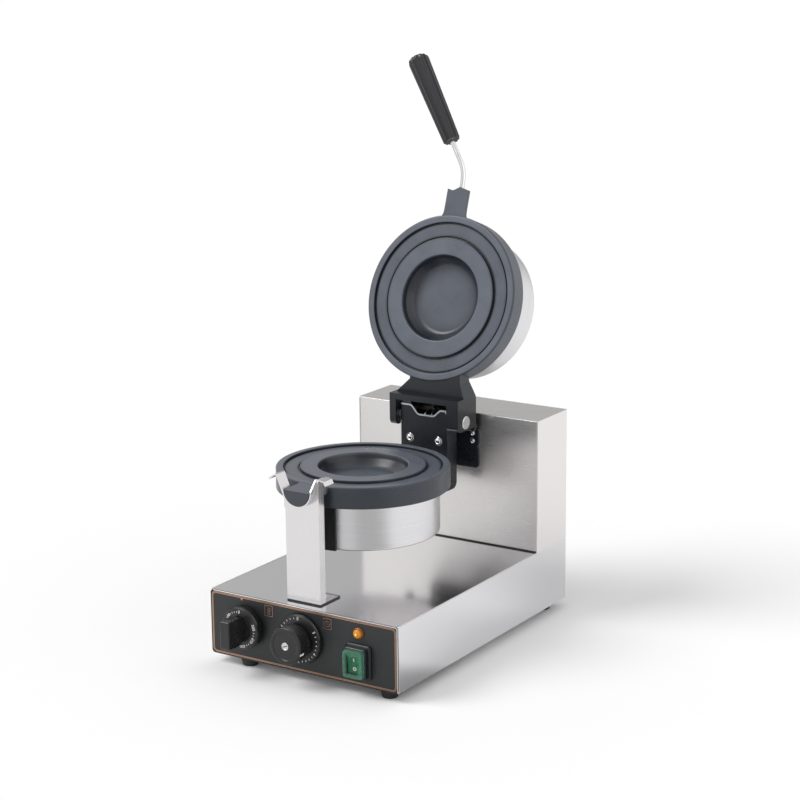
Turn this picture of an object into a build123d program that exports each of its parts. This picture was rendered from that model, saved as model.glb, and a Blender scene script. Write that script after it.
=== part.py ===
from build123d import *
from math import asin, cos, degrees, radians, sin, sqrt
import os

# Rotary burger maker, millimetres. X to the right seen from the front, Y to the back, Z up.
# The origin lies on the standing surface, under the middle of the base.

# Clearances
seat_gap = 0.05  # between a piece and the seat that holds it still
running_gap = 0.06  # radial, for a shaft that turns in its bush
wall_gap = 0.3  # between a moving piece and a fixed one

# Base
base_width = 250.0
base_depth = 373.0
base_height = 75.0
foot_height = 11.0
sheet = 1.2
panel_thickness = 1.5
panel_corner = 4.0
casing_corner = 2.0
base_flange = 12.0
bottom_screw_pitch = 100.0

# Feet
foot_radius = 10.0
foot_tip_radius = 9.0
foot_left_inset = 42.0
foot_right_inset = 20.0
foot_front_inset = 15.0
foot_back_inset = 23.0

# Rear housing
rear_height = 159.3
rear_flange = 10.0
vent_length = 60.0
vent_width = 4.0
vent_pitch = 10.0
vent_count = 7

# Turning axis, cooking plates and hinge
rotor_x = -6.0
axis_above_base = 130.2
plate_clearance = 5.8
hinge_clearance = 41.5
hinge_above_axis = 23.6
hinge_to_housing = 28.8
open_angle = 109.3

# One cooking plate: radii, and depths below the parting plane
plate_radius = 98.7
rim_inner_radius = 90.3
land_radius = 71.2
cavity_radius = 51.5
cavity_floor_radius = 35.0
cavity_depth = 16.0
groove_depth = 2.5
plate_height = 24.6
plate_web = 6.0
parting_gap = 0.4
rim_round = 1.2
tongue_radius = 17.0
tongue_reach = 130.0
lug_half_width = 28.0
lug_top = 9.0

# Drum under each plate
drum_radius = 86.6
drum_depth = 76.0
drum_wall = 1.2
drum_round = 2.5
strap_half_width = 20.5
strap_thickness = 2.5
element_ring_radius = 66.0
element_radius = 4.0
insulation_thickness = 22.0
clamp_bolt_radius = 3.0

# Front support
support_from_front = 13.8
support_width = 44.5
support_sheet = 1.5
support_depth = 10.0
support_foot = 37.0
saddle_clearance = 0.5
saddle_reach = 9.5
lip_depth = 15.0
lip_height = 13.6
lip_turn = 9.0
flare_width = 11.5
flare_rise = 14.0

# Hinge bracket on the turning shaft
bracket_half_width = 32.0
bracket_sheet = 3.0
bracket_front_gap = 11.5
bracket_back = 9.5
bracket_left_top = 16.5
bracket_right_top = 14.0
bracket_bottom = 83.0
dip_centre = 2.5
dip_half_width = 11.0
dip_slope = 9.0
dip_floor = 6.0
pin_radius = 8.0
pin_proud = 0.4
ear_inner = 35.0
yoke_left = 43.5
yoke_right = 51.0
washer_radius = 12.0
stop_pin_radius = 2.5
stop_pin_y = 20.2
stop_pin_z = -12.3

# Yoke, measured from the pin with the lid open: forward, back, down and up
yoke_front = 18.5
yoke_heel = 22.5
yoke_back = 14.5
yoke_low = 9.5
ear_back_high = 26.0
bar_low = 22.0
bar_high = 29.0
neck_front = 5.5
neck_high = 64.0
neck_left = 23.0
neck_right = 46.0

yoke_screw_land = 8.0
yoke_screw_x = 20.0
yoke_screw_margin = 2.35
yoke_screw_depth = 18.0

# Shaft and bearings
shaft_radius = 10.0
shaft_bore = 5.0
hub_half_width = 27.0
hub_low = 27.0
hub_high = 12.0
hub_thickness = 6.0
hub_screw_x = 19.6
hub_screw_drop = 17.0
bush_wall = 4.0
bush_proud = 2.0
boss_radius = 20.0
boss_reach = 13.0
bearing_plate_half_width = 52.0
bearing_plate_half_height = 10.0
bearing_plate_thickness = 3.0
bearing_screw_x = 44.0
bearing_screw_z = 4.7
spigot_radius = 17.0
spigot_reach = 6.0
rear_bearing_plate = 4.0
rear_bearing_half_width = 44.0
passage_half_width = 30.0
passage_height = 10.0
collar_radius = 18.0
collar_width = 9.0

# Handle
handle_offset = 8.0
rod_radius = 3.0
rod_corner = 153.3
handle_turn = 34.8
rod_bend_radius = 45.0
rod_to_grip = 43.0
grip_length = 119.0
grip_inner_radius = 10.5
grip_outer_radius = 13.3
grip_flutes = 10
flute_radius = 2.6
rod_in_grip = 70.0
rod_in_tongue = 20.0

# Controls, heights above the base's lower edge
thermostat_from_left = 49.0
timer_x = 0.0
knob_height = 40.0
lamp_from_right = 49.5
lamp_height = 60.0
switch_height = 28.0
thermostat_body_size = 34.0
thermostat_body_depth = 28.0
timer_body_size = 46.0
timer_body_depth = 36.0
neck_radius = 5.0
neck_proud = 5.0
nut_across = 14.0
nut_thickness = 3.0
spindle_radius = 3.0
knob_gap = 1.5
dial_radius = 24.8
dial_depth = 11.5
grip_bar_width = 13.0
grip_bar_height = 33.0
grip_bar_depth = 27.0
timer_dial_radius = 28.5
timer_dial_depth = 6.0
timer_cap_radius = 21.0
timer_cap_depth = 20.0
timer_stem_radius = 12.0
timer_stem_depth = 4.5
timer_ribs = 36
switch_width = 25.0
switch_tall = 31.0
switch_flange = 4.0
rocker_tilt = 7.0

# Power inlet
gland_from_right = 40.0
gland_height = 30.0
gland_bore = 4.1
gland_radius = 8.0
gland_length = 16.0
terminal_from_gland = 45.0
terminal_length = 56.0
terminal_height = 18.0

# Screws
screw_radius = 2.0
screw_head_radius = 3.8
screw_head_height = 2.2
cap_radius = 5.2
cap_height = 2.9
cap_shank = 2.5
nut_across_small = 7.0
nut_height = 3.2

front = -base_depth / 2
back = base_depth / 2
side = base_width / 2
thermostat_x = -side + thermostat_from_left
lamp_x = side - lamp_from_right
gland_x = side - gland_from_right
base_low = foot_height
base_top = foot_height + base_height
housing_top = base_top + rear_height
axis_z = base_top + axis_above_base
support_y = front + support_from_front
plate_y = support_y + lip_depth + plate_clearance + plate_radius
hinge_y = plate_y + plate_radius + hinge_clearance
housing_front = hinge_y + hinge_to_housing
hinge_z = axis_z + hinge_above_axis
half_gap = parting_gap / 2
bracket_face = hinge_y - bracket_front_gap
bracket_inner = bracket_face + bracket_sheet
hub_back = bracket_inner + hub_thickness
bush_bore = shaft_radius + running_gap
bush_radius = bush_bore + bush_wall
knob_z = base_low + knob_height
panel_back = front + panel_thickness
wall_back = panel_back + sheet
rear_bearing_front = (housing_front + back) / 2
rear_bearing_back = rear_bearing_front + rear_bearing_plate
rear_foot_end = (rear_bearing_back + back) / 2
collar_front = rear_bearing_back + bush_proud + wall_gap
shaft_end = collar_front + collar_width
hinge_axis = Axis((0, hinge_y, hinge_z), (1, 0, 0))
on_rotor = Pos(rotor_x, plate_y, axis_z)
on_lid = on_rotor * Rot(0, 180, 0)
on_axis = Pos(rotor_x, 0, axis_z)
on_hinge = Pos(rotor_x, hinge_y, hinge_z)


def block(x_low, x_high, y_low, y_high, z_low, z_high):
    centre = Pos((x_low + x_high) / 2, (y_low + y_high) / 2, (z_low + z_high) / 2)
    return centre * Box(x_high - x_low, y_high - y_low, z_high - z_low)


def rod_x(y, z, radius, low, high):
    return Pos((low + high) / 2, y, z) * Rot(0, 90, 0) * Cylinder(radius, high - low)


def rod_y(x, z, radius, low, high):
    return Pos(x, (low + high) / 2, z) * Rot(90, 0, 0) * Cylinder(radius, high - low)


def rod_z(x, y, radius, low, high):
    return Pos(x, y, (low + high) / 2) * Cylinder(radius, high - low)


def turned(points, radii=0.0):
    """A body of revolution about Z from radius and height pairs."""
    outline = Plane.XZ * FilletPolyline(*points, radius=radii, close=True)
    return revolve(make_face(outline.edges()), Axis.Z)


def side_plate(points, x_low, x_high, radii=0.0):
    """A plate whose outline is drawn in Y and Z, from x_low to x_high."""
    outline = Plane.YZ * FilletPolyline(*points, radius=radii, close=True)
    return Pos(x_low, 0, 0) * extrude(make_face(outline.edges()), x_high - x_low, dir=(1, 0, 0))


def front_plate(points, y_low, y_high, radii=0.0):
    """A plate whose outline is drawn in X and Z, from y_low to y_high."""
    outline = Plane.XZ * FilletPolyline(*points, radius=radii, close=True)
    return Pos(0, y_low, 0) * extrude(make_face(outline.edges()), y_high - y_low, dir=(0, 1, 0))


def screw(length, head_radius=screw_head_radius, head_height=screw_head_height, shank=screw_radius):
    """A pan head on z = 0 and above, its shank below."""
    head = turned(
        [(0, 0), (head_radius, 0), (head_radius, head_height), (0, head_height)],
        [0, 0, head_height * 0.6, 0],
    )
    slot = Pos(0, 0, head_height) * Box(head_radius * 1.2, head_radius * 0.3, head_height * 0.8)
    return head - slot + rod_z(0, 0, shank, -length, 0)


def nut(across, thickness, bore):
    """A hexagon nut on z = 0 and above."""
    body = extrude(RegularPolygon(across / 2, 6, major_radius=False), thickness)
    return body - rod_z(0, 0, bore, -1, thickness + 1)


def group(solids):
    return Compound(children=list(solids))


def opened(part):
    return part.rotate(hinge_axis, -open_angle)


def foot_places():
    for x in (-side + foot_left_inset, side - foot_right_inset):
        for y in (front + foot_front_inset, back - foot_back_inset):
            yield x, y


def bottom_screw_places():
    inset = sheet + base_flange / 2
    for x in (-side + inset, side - inset):
        for y in (-bottom_screw_pitch, 0, bottom_screw_pitch):
            yield x, y


def support_screw_places():
    y = support_y + support_foot - 12
    for x in (-9, 9):
        yield rotor_x + x, y


def housing_screw_places():
    for x in (-side + 30, side - 30):
        yield x, housing_front + sheet + rear_flange / 2


def cover_screw_places():
    for x in (-side + 8, side - 8):
        for z in (base_top + 12, (base_top + housing_top) / 2, housing_top - 12):
            yield x, z


# Base


def casing_block(y_low, y_high, z_low, z_high, inset):
    body = block(-side + inset, side - inset, y_low + inset, y_high - inset, z_low, z_high)
    return fillet(body.edges().filter_by(Axis.Z), max(casing_corner - inset, 0.2))


def base_housing():
    outer = casing_block(panel_back, back, base_low, base_top, 0)
    flange_low = base_low + sheet
    inner = casing_block(panel_back, back, base_low, base_top - sheet, sheet)
    body = outer - inner
    rim = casing_block(panel_back, back, flange_low, flange_low + sheet, sheet - 0.01)
    rim -= block(
        -side + base_flange, side - base_flange, front + base_flange, back - base_flange,
        base_low, base_top,
    )
    body += rim
    for x in (thermostat_x, timer_x):
        body -= rod_y(x, knob_z, neck_radius + seat_gap, front, wall_back + 1)
    body -= rod_y(lamp_x, base_low + lamp_height, neck_radius + seat_gap, front, wall_back + 1)
    body -= switch_hole(front, wall_back + 1)
    body -= rod_y(gland_x, base_low + gland_height, gland_radius + seat_gap, back - 5, back + 1)
    body -= block(
        rotor_x - passage_half_width, rotor_x + passage_half_width,
        (housing_front + rear_bearing_front) / 2, rear_foot_end, base_top - 5, base_top + 5,
    )
    for x, y in (*support_screw_places(), *housing_screw_places()):
        body -= rod_z(x, y, screw_radius + seat_gap, base_top - 5, base_top + 1)
    for x, y in bottom_screw_places():
        body -= rod_z(x, y, screw_radius + seat_gap, base_low, base_low + 5)
    for x, y in foot_places():
        body -= rod_z(x, y, nut_across_small * 0.7, base_low, base_low + 5)
    return body


def switch_hole(y_low, y_high):
    half_x = switch_width / 2 - 2
    half_z = switch_tall / 2 - 2
    z = base_low + switch_height
    return block(lamp_x - half_x, lamp_x + half_x, y_low, y_high, z - half_z, z + half_z)


def front_panel():
    body = block(-side, side, front, panel_back, base_low, base_top)
    body = fillet(body.edges().filter_by(Axis.Y), panel_corner)
    for x in (thermostat_x, timer_x):
        body -= rod_y(x, knob_z, neck_radius + seat_gap, front - 1, panel_back + 1)
    body -= rod_y(lamp_x, base_low + lamp_height, neck_radius + seat_gap, front - 1, panel_back + 1)
    return body - switch_hole(front - 1, panel_back + 1)


def bottom_plate():
    gap = sheet + seat_gap
    body = block(-side + gap, side - gap, panel_back + gap, back - gap, base_low, base_low + sheet)
    body = fillet(body.edges().filter_by(Axis.Z), casing_corner)
    for x, y in (*bottom_screw_places(), *foot_places()):
        body -= rod_z(x, y, screw_radius + seat_gap, base_low - 1, base_low + 5)
    for row in (-1, 0, 1):
        slot = block(-35, 35, row * 14 - 2, row * 14 + 2, base_low - 1, base_low + 5)
        body -= Pos(0, 60, 0) * slot
    return body


def bottom_screws():
    down = Rot(180, 0, 0) * screw(2 * sheet + 3)
    return group(Pos(x, y, base_low) * down for x, y in bottom_screw_places())


def feet():
    recess = foot_height * 0.45
    profile = [
        (screw_radius + seat_gap, recess),
        (screw_head_radius + 0.6, recess),
        (screw_head_radius + 0.6, 0),
        (foot_tip_radius, 0),
        (foot_radius, foot_height),
        (screw_radius + seat_gap, foot_height),
    ]
    foot = turned(profile, [0, 0, 0, 1.5, 0.5, 0])
    return group(Pos(x, y, 0) * foot for x, y in foot_places())


def foot_screws():
    recess = foot_height * 0.45
    reach = foot_height - recess + sheet + nut_height + 1
    down = Pos(0, 0, recess) * Rot(180, 0, 0) * screw(reach)
    return group(Pos(x, y, 0) * down for x, y in foot_places())


# Rear housing and its bearings


def rear_housing():
    outer = casing_block(housing_front, back, base_top, housing_top, 0)
    inner = block(
        -side + sheet, side - sheet, housing_front + sheet, back + 1,
        base_top - 1, housing_top - sheet,
    )
    body = outer - inner
    body += block(
        -side + 1, side - 1, housing_front + sheet / 2, housing_front + sheet + rear_flange,
        base_top, base_top + sheet,
    )
    for x in (-side + sheet / 2, side - sheet / 2 - rear_flange - sheet):
        strip = block(
            x, x + rear_flange + sheet, back - 2 * sheet - seat_gap, back - sheet - seat_gap,
            base_top, housing_top - sheet / 2,
        )
        body += strip
    body -= spigot_hole(housing_front - 1, housing_front + 5)
    for x, z in bearing_screw_places():
        body -= rod_y(x, z, screw_radius + seat_gap, housing_front - 1, housing_front + 5)
    for x, y in housing_screw_places():
        body -= rod_z(x, y, screw_radius + seat_gap, base_top - 1, base_top + 5)
    for x, z in cover_screw_places():
        body -= rod_y(x, z, screw_radius + seat_gap, back - 10, back + 1)
    return body


def housing_screws():
    drop = 2 * sheet + 4
    return group(Pos(x, y, base_top + sheet) * screw(drop) for x, y in housing_screw_places())


def rear_cover():
    gap = sheet + seat_gap
    body = block(
        -side + gap, side - gap, back - sheet, back, base_top + seat_gap, housing_top - gap
    )
    for row in range(vent_count):
        z = base_top + 55 + row * vent_pitch
        for x in (-50, 50):
            slot = block(
                x - vent_length / 2, x + vent_length / 2, back - 5, back + 1,
                z - vent_width / 2, z + vent_width / 2,
            )
            body -= fillet(slot.edges().filter_by(Axis.Y), vent_width * 0.49)
    for x, z in cover_screw_places():
        body -= rod_y(x, z, screw_radius + seat_gap, back - 5, back + 1)
    return body


def rear_cover_screws():
    piece = Rot(-90, 0, 0) * screw(2 * sheet + 3)
    return group(Pos(x, back, z) * piece for x, z in cover_screw_places())


def bearing_screw_places():
    for x in (-bearing_screw_x, bearing_screw_x):
        for z in (-bearing_screw_z, bearing_screw_z):
            yield rotor_x + x, axis_z + z


def bearing_plate():
    body = block(
        rotor_x - bearing_plate_half_width, rotor_x + bearing_plate_half_width,
        housing_front - bearing_plate_thickness, housing_front,
        axis_z - bearing_plate_half_height, axis_z + bearing_plate_half_height,
    )
    body = fillet(body.edges().filter_by(Axis.Y), 3)
    body -= spigot_hole(housing_front - bearing_plate_thickness - 1, housing_front + 1)
    for x, z in bearing_screw_places():
        body -= countersunk_hole(x, z)
    return body


def spigot_hole(y_low, y_high):
    return rod_y(rotor_x, axis_z, spigot_radius + seat_gap, y_low, y_high)


def bearing_housing():
    plate_front = housing_front - bearing_plate_thickness
    body = rod_y(0, 0, boss_radius, housing_front - boss_reach, plate_front)
    body += rod_y(0, 0, spigot_radius, plate_front - 1, housing_front + spigot_reach)
    bore = bush_radius + seat_gap
    body -= rod_y(0, 0, bore, housing_front - boss_reach - 1, housing_front + spigot_reach + 1)
    return on_axis * body


def countersunk_hole(x, z):
    face = housing_front - bearing_plate_thickness
    cone = Pos(x, face, z) * Rot(-90, 0, 0) * countersink(seat_gap)
    return cone + rod_y(x, z, screw_radius + seat_gap, face, housing_front + 1)


def countersink(grow):
    """A countersunk head, its wide face on z = 0 and its point above."""
    wide = screw_head_radius + grow
    narrow = screw_radius + grow
    return turned([(0, 0), (wide, 0), (narrow, wide - narrow), (0, wide - narrow)])


def bearing_screws():
    face = housing_front - bearing_plate_thickness
    reach = bearing_plate_thickness + sheet + 5
    slot = Box(screw_head_radius * 1.3, 0.8, 1.2)
    piece = countersink(0) + rod_z(0, 0, screw_radius, 0.5, reach) - slot
    return group(
        Pos(x, face, z) * Rot(-90, 0, 0) * piece for x, z in bearing_screw_places()
    )


def bush(y_low, y_high):
    return on_axis * (rod_y(0, 0, bush_radius, y_low, y_high) - rod_y(0, 0, bush_bore, y_low - 1, y_high + 1))


def front_bush():
    return bush(housing_front - boss_reach, housing_front + spigot_reach)


def rear_bearing_bracket():
    y_low = rear_bearing_front
    y_high = rear_bearing_back
    low = rotor_x - rear_bearing_half_width
    high = rotor_x + rear_bearing_half_width
    body = block(low, high, y_low, y_high, base_top, axis_z + 26)
    body += block(low, high, y_low, rear_foot_end, base_top, base_top + rear_bearing_plate)
    body -= block(
        rotor_x - passage_half_width, rotor_x + passage_half_width, y_low - 1, rear_foot_end + 1,
        base_top - 1, base_top + passage_height,
    )
    return body - rod_y(rotor_x, axis_z, bush_radius + seat_gap, y_low - 1, y_high + 1)


def rear_bush():
    return bush(rear_bearing_front - bush_proud, rear_bearing_back + bush_proud)


# Front support


def front_support():
    half = support_width / 2
    y_low = support_y
    y_high = y_low + support_sheet
    top = axis_z + lip_height
    web = block(rotor_x - half, rotor_x + half, y_low, y_high, base_top, top)
    right = block(
        rotor_x + half - support_sheet, rotor_x + half, y_low, y_low + support_depth,
        base_top, top,
    )
    left_top = axis_z - flare_rise + 2
    left = block(
        rotor_x - half, rotor_x - half + support_sheet, y_low, y_low + support_depth,
        base_top, left_top,
    )
    saddle = tongue_radius + saddle_clearance
    cut = rod_y(rotor_x, axis_z, saddle, front, front + 80)
    cut += block(rotor_x - saddle, rotor_x + saddle, front, front + 80, axis_z, top + 5)
    cut += block(rotor_x - half - 5, rotor_x - saddle + 0.1, front, front + 80, left_top, top + 5)
    foot = block(
        rotor_x - half, rotor_x + half, y_low, y_low + support_foot,
        base_top, base_top + support_sheet,
    )
    body = web + right - cut + left + foot + right_lip(top) + left_lip(left_top) + saddle_lip(top)
    for x, y in support_screw_places():
        body -= rod_z(x, y, screw_radius + seat_gap, base_top - 1, base_top + 5)
    return body


def saddle_lip(top):
    """The rim of the cut, drawn forward as a trough; its right wall slopes back to the top."""
    inner = tongue_radius + saddle_clearance
    outer = inner + support_sheet
    y_high = support_y + support_sheet
    y_low = y_high - support_sheet - saddle_reach
    ring = rod_y(0, axis_z, outer, y_low, y_high) - rod_y(0, axis_z, inner, y_low - 1, y_high + 1)
    trough = ring & block(-outer, outer, y_low, y_high, axis_z - outer, axis_z)
    outline = [(y_low, axis_z - 0.5), (y_high, axis_z - 0.5), (y_high, top), (y_low, axis_z + 1.5)]
    return Pos(rotor_x, 0, 0) * (trough + side_plate(outline, inner, outer))


def sheet_strip(points, y_low, y_high, bend):
    """A bent strip of the support's sheet along points in X and Z, right side of the line."""
    line = Plane.XZ * FilletPolyline(*points, radius=bend)
    inner = line.edges()
    outer = Plane.XZ * FilletPolyline(*offset_points(points), radius=bend)
    ends = [
        Edge.make_line(line @ 0, outer @ 0),
        Edge.make_line(line @ 1, outer @ 1),
    ]
    strip = make_face([*inner, *outer.edges(), *ends])
    return Pos(0, y_low, 0) * extrude(strip, y_high - y_low, dir=(0, 1, 0))


def offset_points(points):
    """The same bent line, moved one sheet thickness to its right."""
    moved = []
    for index, point in enumerate(points):
        before = points[max(index - 1, 0)]
        after = points[min(index + 1, len(points) - 1)]
        first = unit_normal(before, point) if before != point else unit_normal(point, after)
        second = unit_normal(point, after) if after != point else first
        scale = support_sheet / (1 + first[0] * second[0] + first[1] * second[1])
        shift_x = (first[0] + second[0]) * scale
        shift_z = (first[1] + second[1]) * scale
        moved.append((point[0] + shift_x, point[1] + shift_z))
    return moved


def unit_normal(start, end):
    run_x = end[0] - start[0]
    run_z = end[1] - start[1]
    length = sqrt(run_x**2 + run_z**2)
    return run_z / length, -run_x / length


def right_lip(top):
    half = support_width / 2
    inner = rotor_x + half - support_sheet
    points = [
        (inner, axis_z - 6),
        (inner, top),
        (inner + lip_turn, top - 1),
        (inner + lip_turn + 2.5, top - 6),
    ]
    y_low = support_y
    return sheet_strip(points, y_low, y_low + lip_depth, 2.0)


def left_lip(left_top):
    half = support_width / 2
    outer = rotor_x - half
    points = [
        (outer - flare_width - 10.5, axis_z + lip_height - 7.5),
        (outer - flare_width, axis_z + lip_height),
        (outer, left_top - 2),
        (outer, left_top - 12),
    ]
    y_low = support_y
    return sheet_strip(points, y_low, y_low + lip_depth, 2.0)


def support_screws():
    drop = support_sheet + sheet + 5
    piece = screw(drop)
    return group(Pos(x, y, base_top + support_sheet) * piece for x, y in support_screw_places())


def fixing_nuts():
    """Nuts on the feet's screws and under the base's top."""
    piece = nut(nut_across_small, nut_height, screw_radius + seat_gap)
    solids = []
    for x, y in foot_places():
        solids.append(Pos(x, y, base_low + sheet) * piece)
    for x, y in (*support_screw_places(), *housing_screw_places()):
        solids.append(Pos(x, y, base_top - sheet - nut_height) * piece)
    return group(solids)


# Controls


def control_body(x, size, depth):
    body = block(
        x - size / 2, x + size / 2, wall_back, wall_back + depth,
        knob_z - size / 2, knob_z + size / 2,
    )
    body = fillet(body.edges().filter_by(Axis.Y), 3)
    body += rod_y(x, knob_z, neck_radius, front - neck_proud, wall_back)
    return body - rod_y(x, knob_z, spindle_radius + running_gap, front - 20, wall_back + depth * 0.6)


def thermostat_body():
    return control_body(thermostat_x, thermostat_body_size, thermostat_body_depth)


def timer_body():
    return control_body(timer_x, timer_body_size, timer_body_depth)


def spindle(x, depth, tip):
    start = tip
    end = wall_back + depth * 0.6 - wall_gap
    return rod_y(x, knob_z, spindle_radius, start, end)


def thermostat_spindle():
    return spindle(thermostat_x, thermostat_body_depth, thermostat_tip())


def timer_spindle():
    return spindle(timer_x, timer_body_depth, timer_tip())


def thermostat_tip():
    return front - knob_gap - dial_depth - 8


def timer_tip():
    return front - knob_gap - timer_dial_depth - timer_stem_depth - 10


def panel_nuts():
    piece = Rot(90, 0, 0) * nut(nut_across, nut_thickness, neck_radius + seat_gap)
    return group(Pos(x, front, knob_z) * piece for x in (thermostat_x, timer_x))


def knob_recess(x, radius, depth):
    back_face = front - knob_gap
    recess = rod_y(x, knob_z, radius, back_face - depth, back_face + 1)
    return recess


def thermostat_knob():
    face = front - knob_gap - dial_depth
    outline = [
        (0, 0), (dial_radius - 1.2, 0), (dial_radius, dial_depth * 0.75), (dial_radius - 2, dial_depth),
        (0, dial_depth),
    ]
    dial = Pos(thermostat_x, front - knob_gap, knob_z) * Rot(90, 0, 0) * turned(outline, [0, 0.5, 1, 0.8, 0])
    bar = block(
        thermostat_x - grip_bar_width / 2, thermostat_x + grip_bar_width / 2,
        face - grip_bar_depth, face + 2,
        knob_z - grip_bar_height / 2, knob_z + grip_bar_height / 2,
    )
    back_edges = bar.edges().filter_by(Axis.X).sort_by(Axis.Y)[-2:]
    bar = fillet(back_edges, 7)
    front_edges = bar.faces().sort_by(Axis.Y)[0].edges()
    bar = fillet(front_edges, 1.5)
    root = rod_y(thermostat_x, knob_z, grip_bar_width * 0.75, face - 4, face + 1)
    body = dial + bar + root
    body -= knob_recess(thermostat_x, dial_radius - 4, dial_depth - 3.5)
    return body - rod_y(thermostat_x, knob_z, spindle_radius + seat_gap, thermostat_tip(), front)


def timer_dial():
    outline = [
        (0, 0), (timer_dial_radius, 0), (timer_dial_radius, timer_dial_depth * 0.5),
        (timer_dial_radius - 5, timer_dial_depth), (0, timer_dial_depth),
    ]
    body = Pos(timer_x, front - knob_gap, knob_z) * Rot(90, 0, 0) * turned(outline, [0, 0.4, 0.8, 0.8, 0])
    stem_end = front - knob_gap - timer_dial_depth - timer_stem_depth
    body += rod_y(timer_x, knob_z, timer_stem_radius, stem_end, front - knob_gap - 2)
    body -= knob_recess(timer_x, timer_dial_radius - 8, timer_dial_depth - 2)
    return body - rod_y(timer_x, knob_z, spindle_radius + seat_gap, timer_tip(), front)


def timer_cap():
    outline = [
        (0, 0), (timer_cap_radius - 0.8, 0), (timer_cap_radius, timer_cap_depth), (0, timer_cap_depth)
    ]
    body = turned(outline, [0, 0.5, 1.5, 0])
    pitch = 360 / timer_ribs
    for number in range(timer_ribs):
        groove = Pos(timer_cap_radius + 0.4, 0, timer_cap_depth * 0.4) * Cylinder(0.9, timer_cap_depth)
        body -= Rot(0, 0, number * pitch) * groove
    stem_end = front - knob_gap - timer_dial_depth - timer_stem_depth
    body = Pos(timer_x, stem_end, knob_z) * Rot(90, 0, 0) * body
    return body - rod_y(timer_x, knob_z, spindle_radius + seat_gap, timer_tip(), front)


def timer_badge():
    face = front - knob_gap - timer_dial_depth - timer_stem_depth - timer_cap_depth
    disc = turned([(0, 0), (4.5, 0), (4.5, 0.6), (0, 0.6)], [0, 0, 0.3, 0])
    return Pos(timer_x, face, knob_z) * Rot(90, 0, 0) * disc


def pilot_lamp_body():
    z = base_low + lamp_height
    body = rod_y(lamp_x, z, neck_radius, front, wall_back + 16)
    return body + rod_y(lamp_x, z, neck_radius + 2, wall_back, wall_back + 4)


def pilot_lamp_lens():
    z = base_low + lamp_height
    outline = [(0, 0), (6.3, 0), (6.3, 2.2), (5.3, 2.6), (4.8, 6.2), (0, 6.8)]
    return Pos(lamp_x, front, z) * Rot(90, 0, 0) * turned(outline, [0, 0.3, 0.4, 0.3, 1.5, 0])


def rounded_block(half_x, half_z, y_low, y_high, corner):
    z = base_low + switch_height
    body = block(lamp_x - half_x, lamp_x + half_x, y_low, y_high, z - half_z, z + half_z)
    return fillet(body.edges().filter_by(Axis.Y), corner)


def switch_housing():
    half_x = switch_width / 2
    half_z = switch_tall / 2
    body = rounded_block(half_x + switch_flange, half_z + switch_flange, front - 3, front, 4)
    body += rounded_block(half_x + 1.5, half_z + 1.5, front - 9, front - 2, 3)
    body += rounded_block(half_x - 2 - seat_gap, half_z - 2 - seat_gap, front - 1, wall_back + 24, 1)
    well = rounded_block(half_x - 3, half_z - 3, front - 12, front + 4, 1)
    return body - well


def rocker_pivot():
    return front - 3.0, base_low + switch_height


def switch_rocker():
    half_x = switch_width / 2 - 3.4
    half_z = switch_tall / 2 - 4.4
    y, z = rocker_pivot()
    front_face = y - 6.5
    wedge = [(front_face + 1.2, z), (front_face, z + half_z), (y + 4, z + half_z - 2), (y + 5, z)]
    upper = side_plate(wedge, lamp_x - half_x, lamp_x + half_x)
    wedge = [(front_face + 1.2, z), (front_face, z - half_z), (y + 4, z - half_z + 2), (y + 5, z)]
    lower = side_plate(wedge, lamp_x - half_x, lamp_x + half_x)
    body = upper + lower
    return body.rotate(Axis((lamp_x, y, z), (1, 0, 0)), rocker_tilt)


def switch_cover():
    half_x = switch_width / 2
    half_z = switch_tall / 2
    cover = rounded_block(half_x, half_z, front - 15, front - 9, 3.5)
    rim = cover.faces().sort_by(Axis.Y)[0].edges()
    cover = fillet(rim, 2)
    inside = rounded_block(half_x - 0.8, half_z - 0.8, front - 14.2, front - 8, 2.8)
    return cover - inside


def terminal_block():
    low = gland_x - terminal_from_gland
    floor = base_low + sheet
    body = block(low, low + terminal_length, back - 60, back - 38, floor, floor + terminal_height)
    for number in range(4):
        x = low + 7 + number * 14
        body -= rod_z(x, back - 49, 3, base_low + sheet + 8, base_low + sheet + 20)
    return body


def cord_gland():
    z = base_low + gland_height
    body = rod_y(gland_x, z, gland_radius, back - sheet - 8, back + 3)
    collar = Pos(gland_x, back, z) * Rot(-90, 0, 0) * extrude(RegularPolygon(10, 6, major_radius=False), 5)
    dome = Pos(gland_x, back + 5, z) * Rot(-90, 0, 0) * turned(
        [(0, 0), (9, 0), (7, gland_length - 5), (0, gland_length - 5)], [0, 0, 2, 0]
    )
    body = body + collar + dome
    return body - rod_y(gland_x, z, gland_bore, back - 20, back + gland_length + 1)


def gland_nut():
    z = base_low + gland_height
    piece = nut(19, 4, gland_radius + seat_gap)
    return Pos(gland_x, back - sheet, z) * Rot(90, 0, 0) * piece


# Turning frame


def hub_screw_places():
    for x in (-hub_screw_x, hub_screw_x):
        for z in (0, -hub_screw_drop):
            yield x, z


def rotor_shaft():
    flange = block(-hub_half_width, hub_half_width, bracket_inner, hub_back, -hub_low, hub_high)
    flange = fillet(flange.edges().filter_by(Axis.Y), 4)
    body = flange + rod_y(0, 0, shaft_radius, hub_back - 1, shaft_end)
    body -= rod_y(0, 0, shaft_bore, bracket_inner - 1, shaft_end + 1)
    slot = shaft_bore - 1
    body -= block(-slot, slot, bracket_inner - 1, bracket_inner + 3, -hub_low - 1, 0)
    for x, z in hub_screw_places():
        body -= rod_y(x, z, cap_shank + seat_gap, bracket_inner - 1, hub_back + 1)
    return on_axis * body


def shaft_collar():
    ring = rod_y(0, 0, collar_radius, collar_front, shaft_end)
    ring -= rod_y(0, 0, shaft_radius + seat_gap, collar_front - 1, shaft_end + 1)
    return on_axis * ring


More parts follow.
